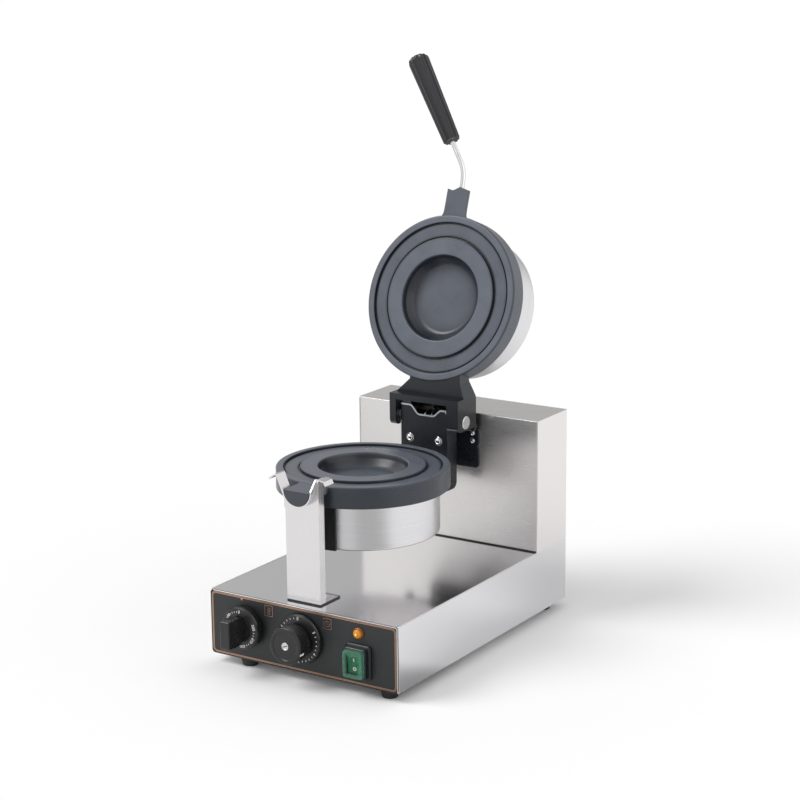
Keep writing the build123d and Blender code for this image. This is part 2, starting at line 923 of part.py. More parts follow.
def hinge_bracket():
    low = hinge_z - bracket_bottom
    wide = bracket_half_width
    floor = hinge_z + dip_floor
    left_top = hinge_z + bracket_left_top
    right_top = hinge_z + bracket_right_top
    outline = [
        (-wide, low),
        (wide, low),
        (wide, right_top),
        (dip_centre + dip_half_width + dip_slope, right_top),
        (dip_centre + dip_half_width, floor),
        (dip_centre - dip_half_width, floor),
        (dip_centre - dip_half_width - dip_slope, left_top),
        (-wide, left_top),
    ]
    body = front_plate(outline, bracket_face, bracket_inner, [0, 0, 1.5, 5, 7, 7, 6, 1.5])
    tab_y = hinge_y + stop_pin_y
    tab_z = hinge_z + stop_pin_z
    for sign in (-1, 1):
        x_low, x_high = sorted((sign * (wide - bracket_sheet), sign * wide))
        high = hinge_z + bracket_right_top - 1
        flange = block(x_low, x_high, bracket_face, hinge_y + bracket_back, low, high)
        flange = fillet(flange.edges().filter_by(Axis.X).sort_by(Axis.Y)[-2:], 8)
        tab = block(x_low, x_high, hinge_y, tab_y, tab_z - 5, tab_z + 5)
        body += flange + tab + rod_x(tab_y, tab_z, 5, x_low, x_high)
    body -= rod_x(hinge_y, hinge_z, pin_radius + seat_gap, -wide - 1, wide + 1)
    body -= rod_x(tab_y, tab_z, stop_pin_radius + seat_gap, -wide - 1, wide + 1)
    for x, z in hub_screw_places():
        hole = rod_y(x, axis_z + z, cap_shank + seat_gap, bracket_face - 1, bracket_inner + 1)
        body -= hole
    return Pos(rotor_x, 0, 0) * body


def bracket_screws():
    reach = bracket_sheet + hub_thickness + nut_height + 1.5
    piece = Rot(90, 0, 0) * screw(reach, cap_radius, cap_height, cap_shank)
    fastener = Rot(-90, 0, 0) * nut(8.0, nut_height, cap_shank + seat_gap)
    solids = []
    for x, z in hub_screw_places():
        if z == 0:
            solids.append(on_axis * Pos(x, bracket_face, z) * piece)
            solids.append(on_axis * Pos(x, hub_back, z) * fastener)
    return group(solids)


def lug_screws():
    reach = bracket_sheet + hub_thickness + 12
    piece = Rot(-90, 0, 0) * screw(reach, cap_radius, cap_height, cap_shank)
    return group(
        on_axis * Pos(x, hub_back, z) * piece for x, z in hub_screw_places() if z < 0
    )


def hinge_pin():
    pin = rod_x(0, 0, pin_radius, -yoke_left - pin_proud, yoke_right + pin_proud)
    return on_hinge * chamfer(pin.edges(), 0.6)


def ring_on_pin(radius, low, high):
    return rod_x(0, 0, radius, low, high) - rod_x(0, 0, pin_radius + seat_gap, low - 1, high + 1)


def hinge_washers():
    near = bracket_half_width + seat_gap
    far = ear_inner - wall_gap
    left = ring_on_pin(washer_radius, -far, -near)
    right = ring_on_pin(washer_radius, near, far)
    return group([on_hinge * left, on_hinge * right])


def lid_stop_pins():
    near = bracket_half_width - bracket_sheet
    left = rod_x(stop_pin_y, stop_pin_z, stop_pin_radius, -yoke_left, -near)
    right = rod_x(stop_pin_y, stop_pin_z, stop_pin_radius, near, yoke_right)
    return group([on_hinge * left, on_hinge * right])


# One cooking plate with its drum, below the parting plane, its centre on the origin


def plate_body():
    under = cavity_depth + plate_web
    skirt_inner = drum_radius + seat_gap
    outline = [
        (0, -cavity_depth),
        (cavity_floor_radius, -cavity_depth),
        (cavity_radius, -half_gap),
        (land_radius, -half_gap),
        (land_radius, -groove_depth),
        (rim_inner_radius, -groove_depth),
        (rim_inner_radius, -half_gap),
        (plate_radius, -half_gap),
        (plate_radius, -plate_height),
        (skirt_inner, -plate_height),
        (skirt_inner, -groove_depth - plate_web),
        (cavity_radius + plate_web, -groove_depth - plate_web),
        (cavity_floor_radius + plate_web, -under),
        (0, -under),
    ]
    radii = [0, 9, 1.5, 0.5, 0.8, 0.8, 0.5, rim_round, rim_round, 0, 0, 4, 9, 0]
    return turned(outline, radii)


def tongue(tip_outline):
    start = -(sqrt(plate_radius**2 - tongue_radius**2) - 4)
    body = rod_y(0, 0, tongue_radius, -tongue_reach - 8, start)
    body -= block(-50, 50, -tongue_reach - 20, 0, -half_gap, 50)
    return body & tip_outline


def plate_features():
    """Clamp bolt boss under the cavity floor."""
    under = cavity_depth + plate_web
    boss = rod_z(0, 0, 8, -under - 6, -under + 1)
    return boss - rod_z(0, 0, clamp_bolt_radius + seat_gap, -under - 8, -under + 1)


def lower_plate():
    square_end = block(-40, 40, -tongue_reach, 0, -40, 10)
    body = plate_body() + tongue(square_end) + plate_features()
    lug_end = bracket_face - plate_y
    lug_start = sqrt(plate_radius**2 - lug_half_width**2) - 3
    lug = block(-lug_half_width, lug_half_width, lug_start, lug_end, -plate_height, -lug_top)
    body += lug
    for x, z in hub_screw_places():
        if z < 0:
            body -= rod_y(x, z, cap_shank + seat_gap, lug_end - 14, lug_end + 1)
    return on_rotor * body


def lid_tip_outline():
    """The lid's tongue ends in two horns and a peak where the handle leaves."""
    horn = tongue_reach + 0.8
    dip = tongue_reach - 2.2
    peak = tongue_reach + 3.4
    edges = [
        Line((-20, 0), (-20, -horn)),
        Line((-20, -horn), (-15, -horn)),
        ThreePointArc((-15, -horn), (-7.5, -dip), (-1.5, -peak)),
        Line((-1.5, -peak), (1.5, -peak)),
        ThreePointArc((1.5, -peak), (7.5, -dip), (15, -horn)),
        Line((15, -horn), (20, -horn)),
        Line((20, -horn), (20, 0)),
        Line((20, 0), (-20, 0)),
    ]
    return Pos(0, 0, -30) * extrude(make_face(edges), 40, dir=(0, 0, 1))


def upper_plate():
    body = plate_body() + tongue(lid_tip_outline()) + plate_features()
    socket = rod_y(0, -handle_offset, rod_radius + seat_gap, -tongue_reach - 8, -tongue_reach + rod_in_tongue)
    body -= socket
    for x, y, z in yoke_screw_places():
        hole = rod_y(x, -z, cap_shank + seat_gap, drum_side() - 1, y + 20)
        body -= hole
    return opened(on_lid * body)


def drum():
    top = -groove_depth - plate_web - wall_gap
    bottom = -drum_depth
    outline = [
        (0, bottom), (drum_radius, bottom), (drum_radius, top), (drum_radius - drum_wall, top),
        (drum_radius - drum_wall, bottom + drum_wall), (0, bottom + drum_wall),
    ]
    body = turned(outline, [0, drum_round, 0, 0, drum_round - drum_wall, 0])
    return body - rod_z(0, 0, clamp_bolt_radius + seat_gap, bottom - 1, bottom + 5)


def drum_strap():
    """A strip bent round the front of the drum, over its seam."""
    outer = drum_radius + seat_gap + strap_thickness
    ring = rod_z(0, 0, outer, -drum_depth, -plate_height)
    ring -= rod_z(0, 0, drum_radius + seat_gap, -drum_depth - 1, 0)
    band = block(-strap_half_width, strap_half_width, -outer - 1, 0, -drum_depth, 0)
    return ring & band


def heating_element():
    level = -groove_depth - plate_web - element_radius - seat_gap
    profile = Plane.XZ * Pos(element_ring_radius, level) * Circle(element_radius)
    ring = revolve(profile, Axis.Z, 340)
    ring = Rot(0, 0, -80) * ring
    return ring


def insulation():
    top = -drum_depth + drum_wall + wall_gap + insulation_thickness
    low = -drum_depth + drum_wall + wall_gap
    outline = [
        (clamp_bolt_radius + 1, low), (drum_radius - drum_wall - 3, low),
        (drum_radius - drum_wall - 3, top), (clamp_bolt_radius + 1, top),
    ]
    return turned(outline)


def clamp_bolt():
    under = cavity_depth + plate_web
    head = Pos(0, 0, -drum_depth) * Rot(180, 0, 0) * turned(
        [(0, 0), (8, 0), (8, 2.4), (0, 3.4)], [0, 0, 1, 0]
    )
    return head + rod_z(0, 0, clamp_bolt_radius, -drum_depth - 1, -under - 0.5)


# Lid


def yoke_screw_places():
    reach = sqrt(plate_radius**2 - yoke_screw_x**2)
    for x in (-yoke_screw_x, yoke_screw_x):
        yield x, reach, yoke_screw_depth


def drum_side():
    """Where the plate's skirt ends inwards, in line with a yoke screw."""
    return sqrt((drum_radius + seat_gap) ** 2 - yoke_screw_x**2)


def lid_yoke():
    ear_outline = [
        (-yoke_front, -yoke_low), (yoke_heel, -yoke_low), (yoke_heel, ear_back_high),
        (yoke_back, neck_high - 14), (-neck_front, neck_high - 14), (-neck_front, bar_high),
        (-yoke_front, bar_high),
    ]
    ear_radii = [7, 1.5, 3, 2, 0, 0, 2]
    body = side_plate(ear_outline, -yoke_left, -ear_inner, ear_radii)
    body += side_plate(ear_outline, ear_inner, yoke_right, ear_radii)
    body += block(-yoke_left, yoke_right, -yoke_front, yoke_back, bar_low, bar_high)
    slope_high = bar_high + 17
    body += front_plate(
        [
            (-yoke_left, bar_high - 1), (yoke_right, bar_high - 1), (neck_right, slope_high),
            (neck_right, neck_high), (-neck_left, neck_high), (-neck_left, slope_high),
        ],
        -neck_front, yoke_back,
    )
    left_slope = [
        (-yoke_left - 1, bar_high), (-yoke_left + 2, bar_high), (-neck_left, slope_high),
        (-neck_left, neck_high + 1), (-yoke_left - 1, neck_high + 1),
    ]
    body -= front_plate(left_slope, -yoke_front, yoke_heel + 1)
    right_slope = [
        (yoke_right + 1, bar_high), (yoke_right, bar_high), (neck_right, slope_high),
        (neck_right, neck_high + 1), (yoke_right + 1, neck_high + 1),
    ]
    body -= front_plate(right_slope, -yoke_front, yoke_heel + 1)
    body -= rod_x(0, 0, pin_radius + running_gap, -yoke_left - 1, yoke_right + 1)
    body = on_hinge * body
    plate_room = opened(on_lid * rod_z(0, 0, plate_radius + seat_gap, -60, 60))
    body -= plate_room
    for x, y, z in yoke_screw_places():
        body -= opened(on_lid * rod_y(x, -z, cap_shank + seat_gap, drum_side(), y + 30))
        seat = y + yoke_screw_land
        body -= opened(on_lid * rod_y(x, -z, cap_radius + 0.5, seat, y + 40))
    return body


def yoke_screws():
    solids = []
    for x, y, z in yoke_screw_places():
        reach = y + yoke_screw_land - drum_side() - yoke_screw_margin
        piece = Rot(-90, 0, 0) * screw(reach, cap_radius, cap_height, cap_shank)
        solids.append(opened(on_lid * Pos(x, y + yoke_screw_land, -z) * piece))
    return group(solids)


def handle_path():
    """Straight out of the tongue, one bend, then into the grip, in the closed lid's frame."""
    turn = radians(handle_turn)
    start = (0, -tongue_reach + rod_in_tongue)
    corner = (0, -rod_corner)
    run = rod_to_grip + rod_in_grip
    end = (-run * sin(turn), -rod_corner - run * cos(turn))
    return start, corner, end


def handle_rod():
    start, corner, end = handle_path()
    line = FilletPolyline(start, corner, end, radius=[rod_bend_radius])
    path = Wire(line.edges())
    section = Plane(origin=(start[0], start[1], 0), z_dir=(0, -1, 0)) * Circle(rod_radius)
    rod = sweep(section, path)
    return opened(on_rotor * Pos(0, 0, handle_offset) * rod)


def handle_grip():
    turn = radians(handle_turn)
    face_x = -rod_to_grip * sin(turn)
    face_y = -rod_corner - rod_to_grip * cos(turn)
    outline = [
        (0, 0), (grip_inner_radius, 0), (grip_outer_radius, grip_length), (0, grip_length + 2.5)
    ]
    body = turned(outline, [0, 1.5, 4, 0])
    lean = degrees(asin((grip_outer_radius - grip_inner_radius) / grip_length))
    for number in range(grip_flutes):
        flute = Rot(0, lean, 0) * Pos(0, 0, grip_length / 2) * Cylinder(flute_radius, grip_length * 1.2)
        flute = Pos(grip_inner_radius + flute_radius * 0.62, 0, 0) * flute
        body -= Rot(0, 0, (number + 0.5) * 360 / grip_flutes) * flute
    body -= rod_z(0, 0, rod_radius + seat_gap, -1, rod_in_grip + 0.5)
    along = Plane(
        origin=(face_x, face_y, 0), x_dir=(0, 0, 1), z_dir=(-sin(turn), -cos(turn), 0)
    )
    return opened(on_rotor * Pos(0, 0, handle_offset) * (along * body))


def lower(shape):
    return on_rotor * shape


def upper(shape):
    return opened(on_lid * shape)


parts = {
    "base_housing": base_housing(),
    "front_panel": front_panel(),
    "bottom_plate": bottom_plate(),
    "bottom_screws": bottom_screws(),
    "feet": feet(),
    "foot_screws": foot_screws(),
    "rear_housing": rear_housing(),
    "housing_screws": housing_screws(),
    "rear_cover": rear_cover(),
    "rear_cover_screws": rear_cover_screws(),
    "bearing_plate": bearing_plate(),
    "bearing_housing": bearing_housing(),
    "bearing_screws": bearing_screws(),
    "front_bush": front_bush(),
    "rear_bearing_bracket": rear_bearing_bracket(),
    "rear_bush": rear_bush(),
    "front_support": front_support(),
    "support_screws": support_screws(),
    "fixing_nuts": fixing_nuts(),
    "thermostat_body": thermostat_body(),
    "timer_body": timer_body(),
    "panel_nuts": panel_nuts(),
    "pilot_lamp_body": pilot_lamp_body(),
    "pilot_lamp_lens": pilot_lamp_lens(),
    "switch_housing": switch_housing(),
    "switch_cover": switch_cover(),
    "terminal_block": terminal_block(),
    "cord_gland": cord_gland(),
    "gland_nut": gland_nut(),
    "rotor_shaft": rotor_shaft(),
    "shaft_collar": shaft_collar(),
    "hinge_bracket": hinge_bracket(),
    "bracket_screws": bracket_screws(),
    "lug_screws": lug_screws(),
    "hinge_pin": hinge_pin(),
    "hinge_washers": hinge_washers(),
    "lid_stop_pins": lid_stop_pins(),
    "lower_plate": lower_plate(),
    "lower_drum": lower(drum()),
    "lower_strap": lower(drum_strap()),
    "lower_element": lower(heating_element()),
    "lower_insulation": lower(insulation()),
    "lower_clamp_bolt": lower(clamp_bolt()),
    "upper_plate": upper_plate(),
    "upper_drum": upper(drum()),
    "upper_strap": upper(drum_strap()),
    "upper_element": upper(heating_element()),
    "upper_insulation": upper(insulation()),
    "upper_clamp_bolt": upper(clamp_bolt()),
    "lid_yoke": lid_yoke(),
    "yoke_screws": yoke_screws(),
    "handle_rod": handle_rod(),
    "handle_grip": handle_grip(),
    "thermostat_knob": thermostat_knob(),
    "thermostat_spindle": thermostat_spindle(),
    "timer_dial": timer_dial(),
    "timer_cap": timer_cap(),
    "timer_badge": timer_badge(),
    "timer_spindle": timer_spindle(),
    "switch_rocker": switch_rocker(),
}

os.makedirs("parts", exist_ok=True)
for name, part in parts.items():
    export_step(part, f"parts/{name}.step")
print(len(parts), "parts written")
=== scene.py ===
import math
import bmesh
import bpy
import numpy as np
from mathutils import Matrix, Vector


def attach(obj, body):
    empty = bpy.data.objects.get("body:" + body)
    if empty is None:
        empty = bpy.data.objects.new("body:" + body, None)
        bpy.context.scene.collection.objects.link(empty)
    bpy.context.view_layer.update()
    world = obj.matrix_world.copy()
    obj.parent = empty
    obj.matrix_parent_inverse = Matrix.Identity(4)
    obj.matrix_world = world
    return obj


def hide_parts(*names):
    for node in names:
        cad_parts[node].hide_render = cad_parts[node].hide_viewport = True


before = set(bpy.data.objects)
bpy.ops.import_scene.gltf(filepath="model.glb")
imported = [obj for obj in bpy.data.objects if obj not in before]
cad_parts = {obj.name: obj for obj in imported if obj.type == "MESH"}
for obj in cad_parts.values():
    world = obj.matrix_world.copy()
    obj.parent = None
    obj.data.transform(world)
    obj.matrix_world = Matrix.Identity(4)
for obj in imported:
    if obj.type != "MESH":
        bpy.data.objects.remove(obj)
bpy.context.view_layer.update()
print("stage: frame loaded,", len(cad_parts), "nodes")

mm = 0.001
nearlyStraight = 1.55  # half of a corner's angle, in radians, from which the corner stays as it is
weld = 1e-6  # metres within which two points of a mesh become one


# numbers, surfaces and meshes


def pick(form, *keys):
    return [form[key] for key in keys]


def corners(points, radii, steps=5):
    # a line through the points with each corner replaced by an arc of its radius:
    # the arc's centre stands on the corner's halving line, radius / sin(half angle) away
    points = np.asarray(points, float)
    radii = np.broadcast_to(radii, len(points))
    out = [points[:1]]
    for i in range(1, len(points) - 1):
        back = points[i - 1] - points[i]
        ahead = points[i + 1] - points[i]
        back, ahead = back / np.linalg.norm(back), ahead / np.linalg.norm(ahead)
        half = 0.5 * math.acos(float(np.clip(back @ ahead, -1, 1)))
        if radii[i] <= 0 or half > nearlyStraight:
            out.append(points[i:i + 1])
            continue
        reach = radii[i] / math.tan(half)
        middle = (back + ahead) / np.linalg.norm(back + ahead)
        centre = points[i] + middle * radii[i] / math.sin(half)
        first = points[i] + back * reach - centre
        last = points[i] + ahead * reach - centre
        sweep = math.pi - 2 * half
        t = np.linspace(0, 1, steps + 1)[:, None]
        out.append(centre + (np.sin((1 - t) * sweep) * first + np.sin(t * sweep) * last) / math.sin(sweep))
    out.append(points[-1:])
    return np.concatenate(out)


def finer(line, step):
    # the same line with extra points, none further apart than step
    gaps = np.linalg.norm(np.diff(line, axis=0), axis=1)
    counts = np.maximum(np.ceil(gaps / step).astype(int), 1)
    parts = [line[i] + (line[i + 1] - line[i]) * np.arange(n)[:, None] / n for i, n in enumerate(counts)]
    return np.concatenate(parts + [line[-1:]])


def around(sides):
    return np.linspace(0, 2 * np.pi, sides + 1)


def carriedRound(r, h, a):
    # x = r cos a, y = r sin a, z = h, one row for each radius and height
    return np.stack([r * np.cos(a), r * np.sin(a), h + 0 * a], -1)


def turned(profile, sides=160):
    # radius and height pairs carried once round Z
    return carriedRound(profile[:, :1], profile[:, 1:], around(sides))


def domeLine(radius, base, rise, steps):
    # a quarter of an ellipse from the crown to the rim: r = radius sin t, h = base + rise cos t
    t = np.linspace(0, np.pi / 2, steps)
    return np.stack([radius * np.sin(t), base + rise * np.cos(t)], -1)


def move(x, y, z):
    m = np.eye(4)
    m[:3, 3] = x, y, z
    return m


def turn(axis, degrees):
    return np.array(Matrix.Rotation(math.radians(degrees), 4, axis))


def placed(grid, matrix):
    # millimetres in the piece's own frame to metres in the row frame
    return (grid @ matrix[:3, :3].T + matrix[:3, 3]) * mm


def gridFaces(rows, columns, start):
    n = start + np.arange(rows * columns).reshape(rows, columns)
    return np.stack([n[:-1, :-1], n[1:, :-1], n[1:, 1:], n[:-1, 1:]], -1).reshape(-1, 4)


def capped(grid):
    # closes both ends of a tube by drawing its first and last rings in to their middles
    first = np.broadcast_to(grid[:1].mean(1, keepdims=True), grid[:1].shape)
    last = np.broadcast_to(grid[-1:].mean(1, keepdims=True), grid[-1:].shape)
    return np.concatenate([first, grid, last])


def newObject(name, verts, faces, uv=None, sharpAngle=30):
    mesh = bpy.data.meshes.new(name)
    mesh.from_pydata(verts, [], faces)
    if uv is not None:
        layer = mesh.uv_layers.new(name="UVMap")
        loopVerts = np.empty(len(mesh.loops), np.int32)
        mesh.loops.foreach_get("vertex_index", loopVerts)
        layer.data.foreach_set("uv", uv[loopVerts].astype(np.float32).ravel())
    work = bmesh.new()
    work.from_mesh(mesh)
    bmesh.ops.remove_doubles(work, verts=work.verts, dist=weld)
    bmesh.ops.dissolve_degenerate(work, edges=work.edges, dist=weld)
    bmesh.ops.recalc_face_normals(work, faces=work.faces)
    work.to_mesh(mesh)
    work.free()
    mesh.polygons.foreach_set("use_smooth", np.ones(len(mesh.polygons), bool))
    mesh.set_sharp_from_angle(angle=math.radians(sharpAngle))
    piece = bpy.data.objects.new(name, mesh)
    bpy.context.scene.collection.objects.link(piece)
    return piece


def gridObject(name, grids, sharpAngle=30, tones=None):
    # the map's u runs along a grid's columns; its v along the rows, or carries the tone given for each row
    verts, faces, uvs, start = [], [], [], 0
    for index, grid in enumerate(grids):
        rows, columns = grid.shape[:2]
        verts.append(grid.reshape(-1, 3))
        faces.append(gridFaces(rows, columns, start))
        rowValues = np.linspace(0, 1, rows) if tones is None else np.broadcast_to(tones[index], rows)
        v, u = np.meshgrid(rowValues, np.linspace(0, 1, columns), indexing="ij")
        uvs.append(np.stack([u, v], -1).reshape(-1, 2))
        start += rows * columns
    return newObject(name, np.concatenate(verts), np.concatenate(faces).tolist(), np.concatenate(uvs), sharpAngle)


def dress(piece, body, finishName, nodes=(), bevel=0.0):
    if bevel:
        edge = piece.modifiers.new("softEdge", "BEVEL")
        edge.width = bevel * mm
        edge.segments = 3
        edge.limit_method = "ANGLE"
        edge.angle_limit = math.radians(32)
        edge.harden_normals = True
    piece.data.materials.clear()
    piece.data.materials.append(finish[finishName])
    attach(piece, body)
    if nodes:
        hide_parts(*nodes)
    return piece


def addPiece(name, grids, body, slot, finishName, nodes=(), sharpAngle=30, tones=None, bevel=0.0):
    return dress(gridObject(name, grids, sharpAngle, tones), body, finishName, nodes, bevel)


def ribbon(path, width, height, normal, closed=False):
    # a flat bar along the path: its four corners stand half a width to each side and
    # half a height up and down, the side being the path's direction crossed with the normal
    path = np.asarray(path, float)
    if closed:
        ahead = np.roll(path[:-1], -1, 0) - np.roll(path[:-1], 1, 0)
        ahead = np.concatenate([ahead, ahead[:1]])
    else:
        ahead = np.gradient(path, axis=0)
    ahead /= np.linalg.norm(ahead, axis=1, keepdims=True)
    side = np.cross(ahead, normal) * width / 2
    rise = np.asarray(normal, float) * height / 2
    lowLeft, highLeft = path + side - rise, path + side + rise
    ring = np.stack([lowLeft, highLeft, path - side + rise, path - side - rise, lowLeft], 1)
    return ring if closed else capped(ring)


# finishes


def addNode(tree, kind, inputs=None, **settings):
    # a new shader node; each input is given as a value, or as the output socket that feeds it
    made = tree.nodes.new("ShaderNode" + kind)
    for key, value in settings.items():
        setattr(made, key, value)
    for key, value in (inputs or {}).items():
        if isinstance(value, bpy.types.NodeSocket):
            tree.links.new(value, made.inputs[key])
        else:
            made.inputs[key].default_value = value
    return made


def calculate(tree, operation, *values):
    return addNode(tree, "Math", dict(enumerate(values)), operation=operation).outputs[0]


def newMaterial(colour, metallic=0.0, roughness=0.4, **extra):
    material = bpy.data.materials.new("finish")
    material.use_nodes = True
    tree = material.node_tree
    shader = tree.nodes["Principled BSDF"]
    shader.inputs["Base Color"].default_value = (*colour, 1)
    shader.inputs["Metallic"].default_value = metallic
    shader.inputs["Roughness"].default_value = roughness
    for key, value in extra.items():
        shader.inputs[key.replace("_", " ")].default_value = value
    return material, tree, shader


def ownMap(tree):
    return addNode(tree, "UVMap", uv_map="UVMap").outputs["UV"]


def mapTone(tree):
    # the tone that a piece's own map carries in its v
    return addNode(tree, "SeparateXYZ", {"Vector": ownMap(tree)}).outputs["Y"]


def grainNoise(tree, scale, detail=4.0, rough=0.55, stretch=(1, 1, 1), place=None):
    place = place or addNode(tree, "TexCoord").outputs["Object"]
    fit = addNode(tree, "Mapping", {"Vector": place, "Scale": stretch}).outputs["Vector"]
    noise = addNode(tree, "TexNoise", {"Vector": fit, "Scale": scale, "Detail": detail, "Roughness": rough})
    return noise.outputs["Fac"]


def spread(tree, value, low, high, fromLow=0.3, fromHigh=0.7, curve="LINEAR"):
    inputs = {"Value": value, "From Min": fromLow, "From Max": fromHigh, "To Min": low, "To Max": high}
    return addNode(tree, "MapRange", inputs, interpolation_type=curve).outputs["Result"]


def roughen(tree, shader, value, low, high):
    tree.links.new(spread(tree, value, low, high), shader.inputs["Roughness"])


def shade(tree, shader, value, dark, light):
    inputs = {"Factor": value, "A": (*dark, 1), "B": (*light, 1)}
    mixed = addNode(tree, "Mix", inputs, data_type="RGBA").outputs["Result"]
    tree.links.new(mixed, shader.inputs["Base Color"])


def scaled(colour, factor):
    return tuple(min(c * factor, 1) for c in colour)


def relief(tree, shader, value, strength, distance, under=None):
    inputs = {"Height": value, "Strength": strength, "Distance": distance * mm}
    if under is not None:
        inputs["Normal"] = under
    normal = addNode(tree, "Bump", inputs).outputs["Normal"]
    tree.links.new(normal, shader.inputs["Normal"])
    return normal


def brushedSteel(colour, roughness, along, relative=0.03, streak=0.02):
    # long thin streaks: noise drawn out along the brushing and squeezed across it
    material, tree, shader = newMaterial(colour, metallic=1.0, roughness=roughness)
    stretch = [40.0 if axis == along else 2600.0 for axis in "XYZ"]
    fine = grainNoise(tree, 1.0, rough=0.6, stretch=stretch)
    broad = grainNoise(tree, 9.0, detail=3.0)
    roughen(tree, shader, fine, roughness - relative, roughness + relative)
    shade(tree, shader, spread(tree, fine, 0.1, 0.9), scaled(colour, 1 - streak), scaled(colour, 1 + streak))
    normal = relief(tree, shader, fine, strength=0.014, distance=0.006)
    relief(tree, shader, broad, strength=0.030, distance=0.25, under=normal)
    return material


def ringBrushedSteel(colour, roughness):
    # brushed round the drum: the streaks follow the piece's own map, u round and v up
    material, tree, shader = newMaterial(colour, metallic=1.0, roughness=roughness, Anisotropic=0.55)
    fine = grainNoise(tree, 1.0, detail=5.0, rough=0.5, stretch=(7.0, 420.0, 1.0), place=ownMap(tree))
    tangent = addNode(tree, "Tangent", direction_type="UV_MAP", uv_map="UVMap").outputs["Tangent"]
    tree.links.new(tangent, shader.inputs["Tangent"])
    roughen(tree, shader, fine, roughness - 0.03, roughness + 0.03)
    shade(tree, shader, spread(tree, fine, 0.1, 0.9), scaled(colour, 0.92), scaled(colour, 1.05))
    relief(tree, shader, fine, strength=0.05, distance=0.010)
    return material


def castCoat(colour, dark, roughness=0.29):
    # non-stick coat over sand-cast metal: an orange-peel grain, cloudy wear, and painted shade
    # that darkens the grooves, the cavity's wall and the sides towards the dark colour by the tone in the map's v
    material, tree, shader = newMaterial(colour, roughness=roughness, Specular_IOR_Level=0.5)
    grain = grainNoise(tree, 900.0, detail=3.0)
    cloud = grainNoise(tree, 38.0, detail=5.0)
    roughen(tree, shader, cloud, roughness - 0.04, roughness + 0.09)
    # painted shade from the map's tone, times the cloudy wear
    wearAndPaintedShade = calculate(tree, "MULTIPLY", mapTone(tree), spread(tree, cloud, 0.84, 1.04))
    shade(tree, shader, wearAndPaintedShade, dark, colour)
    normal = relief(tree, shader, grain, strength=0.20, distance=0.05)
    relief(tree, shader, cloud, strength=0.10, distance=0.35, under=normal)
    return material


def paintedMetal(colour, roughness=0.35, grain=420.0, strength=0.12):
    material, tree, shader = newMaterial(colour, roughness=roughness)
    cloud = grainNoise(tree, 30.0)
    roughen(tree, shader, cloud, roughness - 0.05, roughness + 0.07)
    shade(tree, shader, spread(tree, cloud, 0.0, 1.0), scaled(colour, 0.85), scaled(colour, 1.2))
    relief(tree, shader, grainNoise(tree, grain, detail=2.0), strength, distance=0.05)
    return material


def moulded(colour, roughness=0.3, grain=700.0, strength=0.06, **extra):
    material, tree, shader = newMaterial(colour, roughness=roughness, **extra)
    speck = grainNoise(tree, grain, detail=3.0)
    roughen(tree, shader, grainNoise(tree, 60.0, detail=3.0), roughness - 0.05, roughness + 0.07)
    shade(tree, shader, spread(tree, speck, 0.0, 1.0), scaled(colour, 0.9), scaled(colour, 1.12))
    relief(tree, shader, speck, strength, distance=0.03)
    return material


def brightMetal(colour, roughness=0.14):
    material, tree, shader = newMaterial(colour, metallic=1.0, roughness=roughness)
    scuff = grainNoise(tree, 260.0)
    roughen(tree, shader, scuff, roughness - 0.04, roughness + 0.08)
    shade(tree, shader, scuff, scaled(colour, 0.92), scaled(colour, 1.04))
    relief(tree, shader, scuff, strength=0.04, distance=0.03)
    return material


def clearPlastic(colour):
    # a thin soft cover, clear in its window and cloudier at its rim: the map's v carries how much it hides
    material, tree, shader = newMaterial(colour, roughness=0.10, Specular_IOR_Level=0.6)
    tree.links.new(mapTone(tree), shader.inputs["Alpha"])
    ripple = grainNoise(tree, 120.0, detail=2.0)
    relief(tree, shader, ripple, strength=0.10, distance=0.10)
    roughen(tree, shader, ripple, 0.07, 0.16)
    return material


def pinFinish(bright, dark, middle, paintedShadeHalf, fade):
    # a turned pin, bright at the two ends that show, its middle between the cheeks darkened as painted shade
    material, tree, shader = newMaterial(bright, metallic=1.0, roughness=0.2)
    place = addNode(tree, "SeparateXYZ", {"Vector": addNode(tree, "TexCoord").outputs["Object"]}).outputs["X"]
    away = calculate(tree, "ABSOLUTE", calculate(tree, "SUBTRACT", place, middle * mm))
    scuff = grainNoise(tree, 260.0)
    roughen(tree, shader, scuff, 0.16, 0.30)
    unshadedEnds = spread(tree, away, 0.0, 1.0, paintedShadeHalf * mm, (paintedShadeHalf + fade) * mm)
    shade(tree, shader, unshadedEnds, dark, bright)
    relief(tree, shader, scuff, strength=0.04, distance=0.03)
    return material
